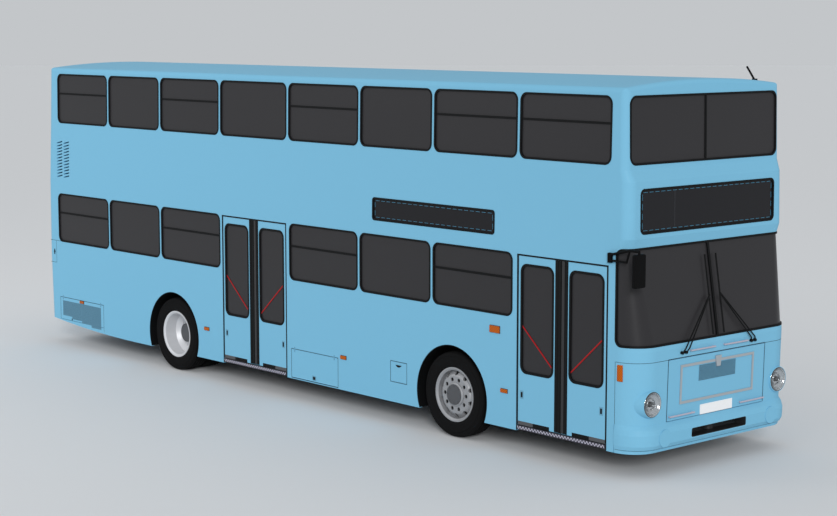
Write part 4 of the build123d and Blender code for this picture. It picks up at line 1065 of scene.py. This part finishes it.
# %% [markdown]
# ## Destination signs
#
# The signs are blank displays behind glass that is smoother and darker than the windows, with
# a thin dashed frame in cyan and one divider.

# %% Sign finishes and dashes
sign_glass = new_material("dark display glass", "#1F1F22", Roughness=0.2, IOR=1.5,
                          Specular_IOR_Level=0.15)
sign_line = new_material("display frame, cyan print", "#3E88A8", Roughness=0.5)
sign_divider = new_material("display divider", "#2F3136", Roughness=0.5)
DASH, DASH_STEP = 60 * MM, 90 * MM


def add_dashes(mesh, start, end, facing):
    """A dashed line of thin bars between two points."""
    run = end - start
    half_dash = run.normalized() * DASH / 2
    count = max(1, round(run.length / DASH_STEP))
    for i in range(count):
        dash = start + run * ((i + 0.5) / count)
        add_bar(mesh, dash - half_dash, dash + half_dash, 4 * MM, 1 * MM, facing)


def frame_sides(across, upwards):
    """The four sides of a frame, as pairs of corners."""
    sides = [((place, upwards[0]), (place, upwards[1])) for place in across]
    return sides + [((across[0], up), (across[1], up)) for up in upwards]


# %% Front sign
SIGN_GLASS_RISE, SIGN_GLASS_WIDE = 0.207, 2.096
SIGN_HALF, SIGN_RISE = 1.033, 0.192
DIVIDER_Y = -0.540
low_spot, high_spot = ahead("deck_glass", 0, 2.500), ahead("deck_glass", 0, 2.900)
rise = (high_spot - low_spot).normalized()
out = Vector((rise.z, 0, -rise.x))
middle = (low_spot + high_spot) / 2
draw_piece("front_sign_glass", sign_glass, "body", add_bar, middle - rise * SIGN_GLASS_RISE + out * MM,
           middle + rise * SIGN_GLASS_RISE + out * MM, SIGN_GLASS_WIDE, 2 * MM, out)


def on_sign(y, up):
    """A place just before the glass of the front sign."""
    return middle + rise * up + Vector((0, y, 0)) + out * 3 * MM


mesh = bmesh.new()
for start, end in frame_sides((-SIGN_HALF, SIGN_HALF), (-SIGN_RISE, SIGN_RISE)):
    add_dashes(mesh, on_sign(*start), on_sign(*end), out)
finish_piece(mesh, "front_sign_frame", sign_line)
draw_piece("front_sign_divider", sign_divider, "body", add_bar, on_sign(DIVIDER_Y, -SIGN_RISE),
           on_sign(DIVIDER_Y, SIGN_RISE), 6 * MM, 1 * MM, out)

# %% Side sign
SIDE_GLASS_X, SIDE_GLASS_Z = (1.566, 3.537), (2.348, 2.568)
SIDE_FRAME_X, SIDE_FRAME_Z = (1.585, 3.518), (2.363, 2.553)
glass_y = surface("deck_glass", (2.5, -3.0, 2.458), (0, 1, 0)).y - 1 * MM
draw_piece("side_sign_glass", sign_glass, "body", add_block,
           (SIDE_GLASS_X[0], glass_y - 1 * MM, SIDE_GLASS_Z[0]),
           (SIDE_GLASS_X[1], glass_y + 1 * MM, SIDE_GLASS_Z[1]))
line_y = glass_y - 1.5 * MM
mesh = bmesh.new()
for (x_start, z_start), (x_end, z_end) in frame_sides(SIDE_FRAME_X, SIDE_FRAME_Z):
    add_dashes(mesh, Vector((x_start, line_y, z_start)), Vector((x_end, line_y, z_end)), OUTWARD)
finish_piece(mesh, "side_sign_frame", sign_line)

# %% [markdown]
# ## Mirror glass
#
# Each mirror head has its silvered glass on the rear face.

# %% Mirror glass
mirror_silver = new_material("silvered mirror glass", "#C8CCD0", Metallic=1.0, Roughness=0.05)
mesh = bmesh.new()
add_block(mesh, (5.628, -1.372, 1.998), (5.631, -1.248, 2.297), 1 * MM)
add_block(mesh, (5.136, 1.280, 1.968), (5.139, 1.356, 2.267), 1 * MM)
finish_piece(mesh, "mirror_glass", mirror_silver)

# %% [markdown]
# ## Studio
#
# A matt, pale floor keeps the shadow. The key light comes from far away over a wide angle: it
# lights both ends of the long bus alike and its shadow is soft. Two large lamps lighten it.

# %% Floor
STUDIO_GREY = "#E4E6E8"
floor_colour = new_material("pale studio floor", STUDIO_GREY, Roughness=0.9)
mesh = bmesh.new()
bmesh.ops.create_grid(mesh, x_segments=1, y_segments=1, size=200)
floor = mesh_object(mesh, "studio floor", floor_colour)

# %% [markdown]
# The backdrop, seen straight, in metal or through glass, has the tone of the floor far away,
# so that the floor has no edge. The light of the world itself is brighter.

# %% World
world = bpy.data.worlds.new("studio")
bpy.context.scene.world = world
world.use_nodes = True
skylight = world.node_tree.nodes["Background"]
skylight.inputs["Color"].default_value = linear(STUDIO_GREY)
skylight.inputs["Strength"].default_value = 0.68
seen = add_node(world, "Background", {"Color": linear("#C3C6C9")})
rays = add_node(world, "LightPath").outputs
picked = rays["Is Camera Ray"]
for ray in ("Is Glossy Ray", "Is Transmission Ray"):
    picked = add_node(world, "Math", {"operation": "MAXIMUM"}, {0: picked, 1: rays[ray]}).outputs[0]
mixed = add_node(world, "MixShader", None,
                 {0: picked, 1: skylight.outputs[0], 2: seen.outputs[0]})
world.node_tree.links.new(mixed.outputs[0], world.node_tree.nodes["World Output"].inputs["Surface"])

# %% Lamps
def add_lamp(name, kind, spot, energy):
    """A staged lamp, aimed at the middle of the bus."""
    light = bpy.data.lights.new(name, kind)
    light.energy = energy
    lamp = new_object(name, light)
    lamp.location = spot
    lamp.rotation_euler = (Vector((0, 0, 1.5)) - lamp.location).to_track_quat("-Z", "Y").to_euler()
    return light


add_lamp("key", "SUN", (33.0, -26.5, 17.0), 1.60).angle = math.radians(17)
add_lamp("fill", "AREA", (-10.0, -16.0, 10.0), 480.0).size = 10.0
add_lamp("top", "AREA", (0.0, 4.0, 16.0), 90.0).size = 12.0

# %% [markdown]
# ## Camera
#
# A long lens from the right front, a little above the driver's eye. It is set so that the
# axles, windows and doors fall where the picture shows them.

# %% Camera
camera_data = bpy.data.cameras.new("view")
camera_data.lens = 79.5
camera_data.sensor_width = 36
camera_data.clip_end = 200
camera = new_object("view", camera_data)
camera.location = (17.635, -14.923, 4.574)
looks = Vector((-0.73950, 0.66119, -0.12636))
camera.rotation_euler = looks.to_track_quat("-Z", "Y").to_euler()
bpy.context.scene.camera = camera
bpy.context.scene.view_settings.view_transform = "Standard"
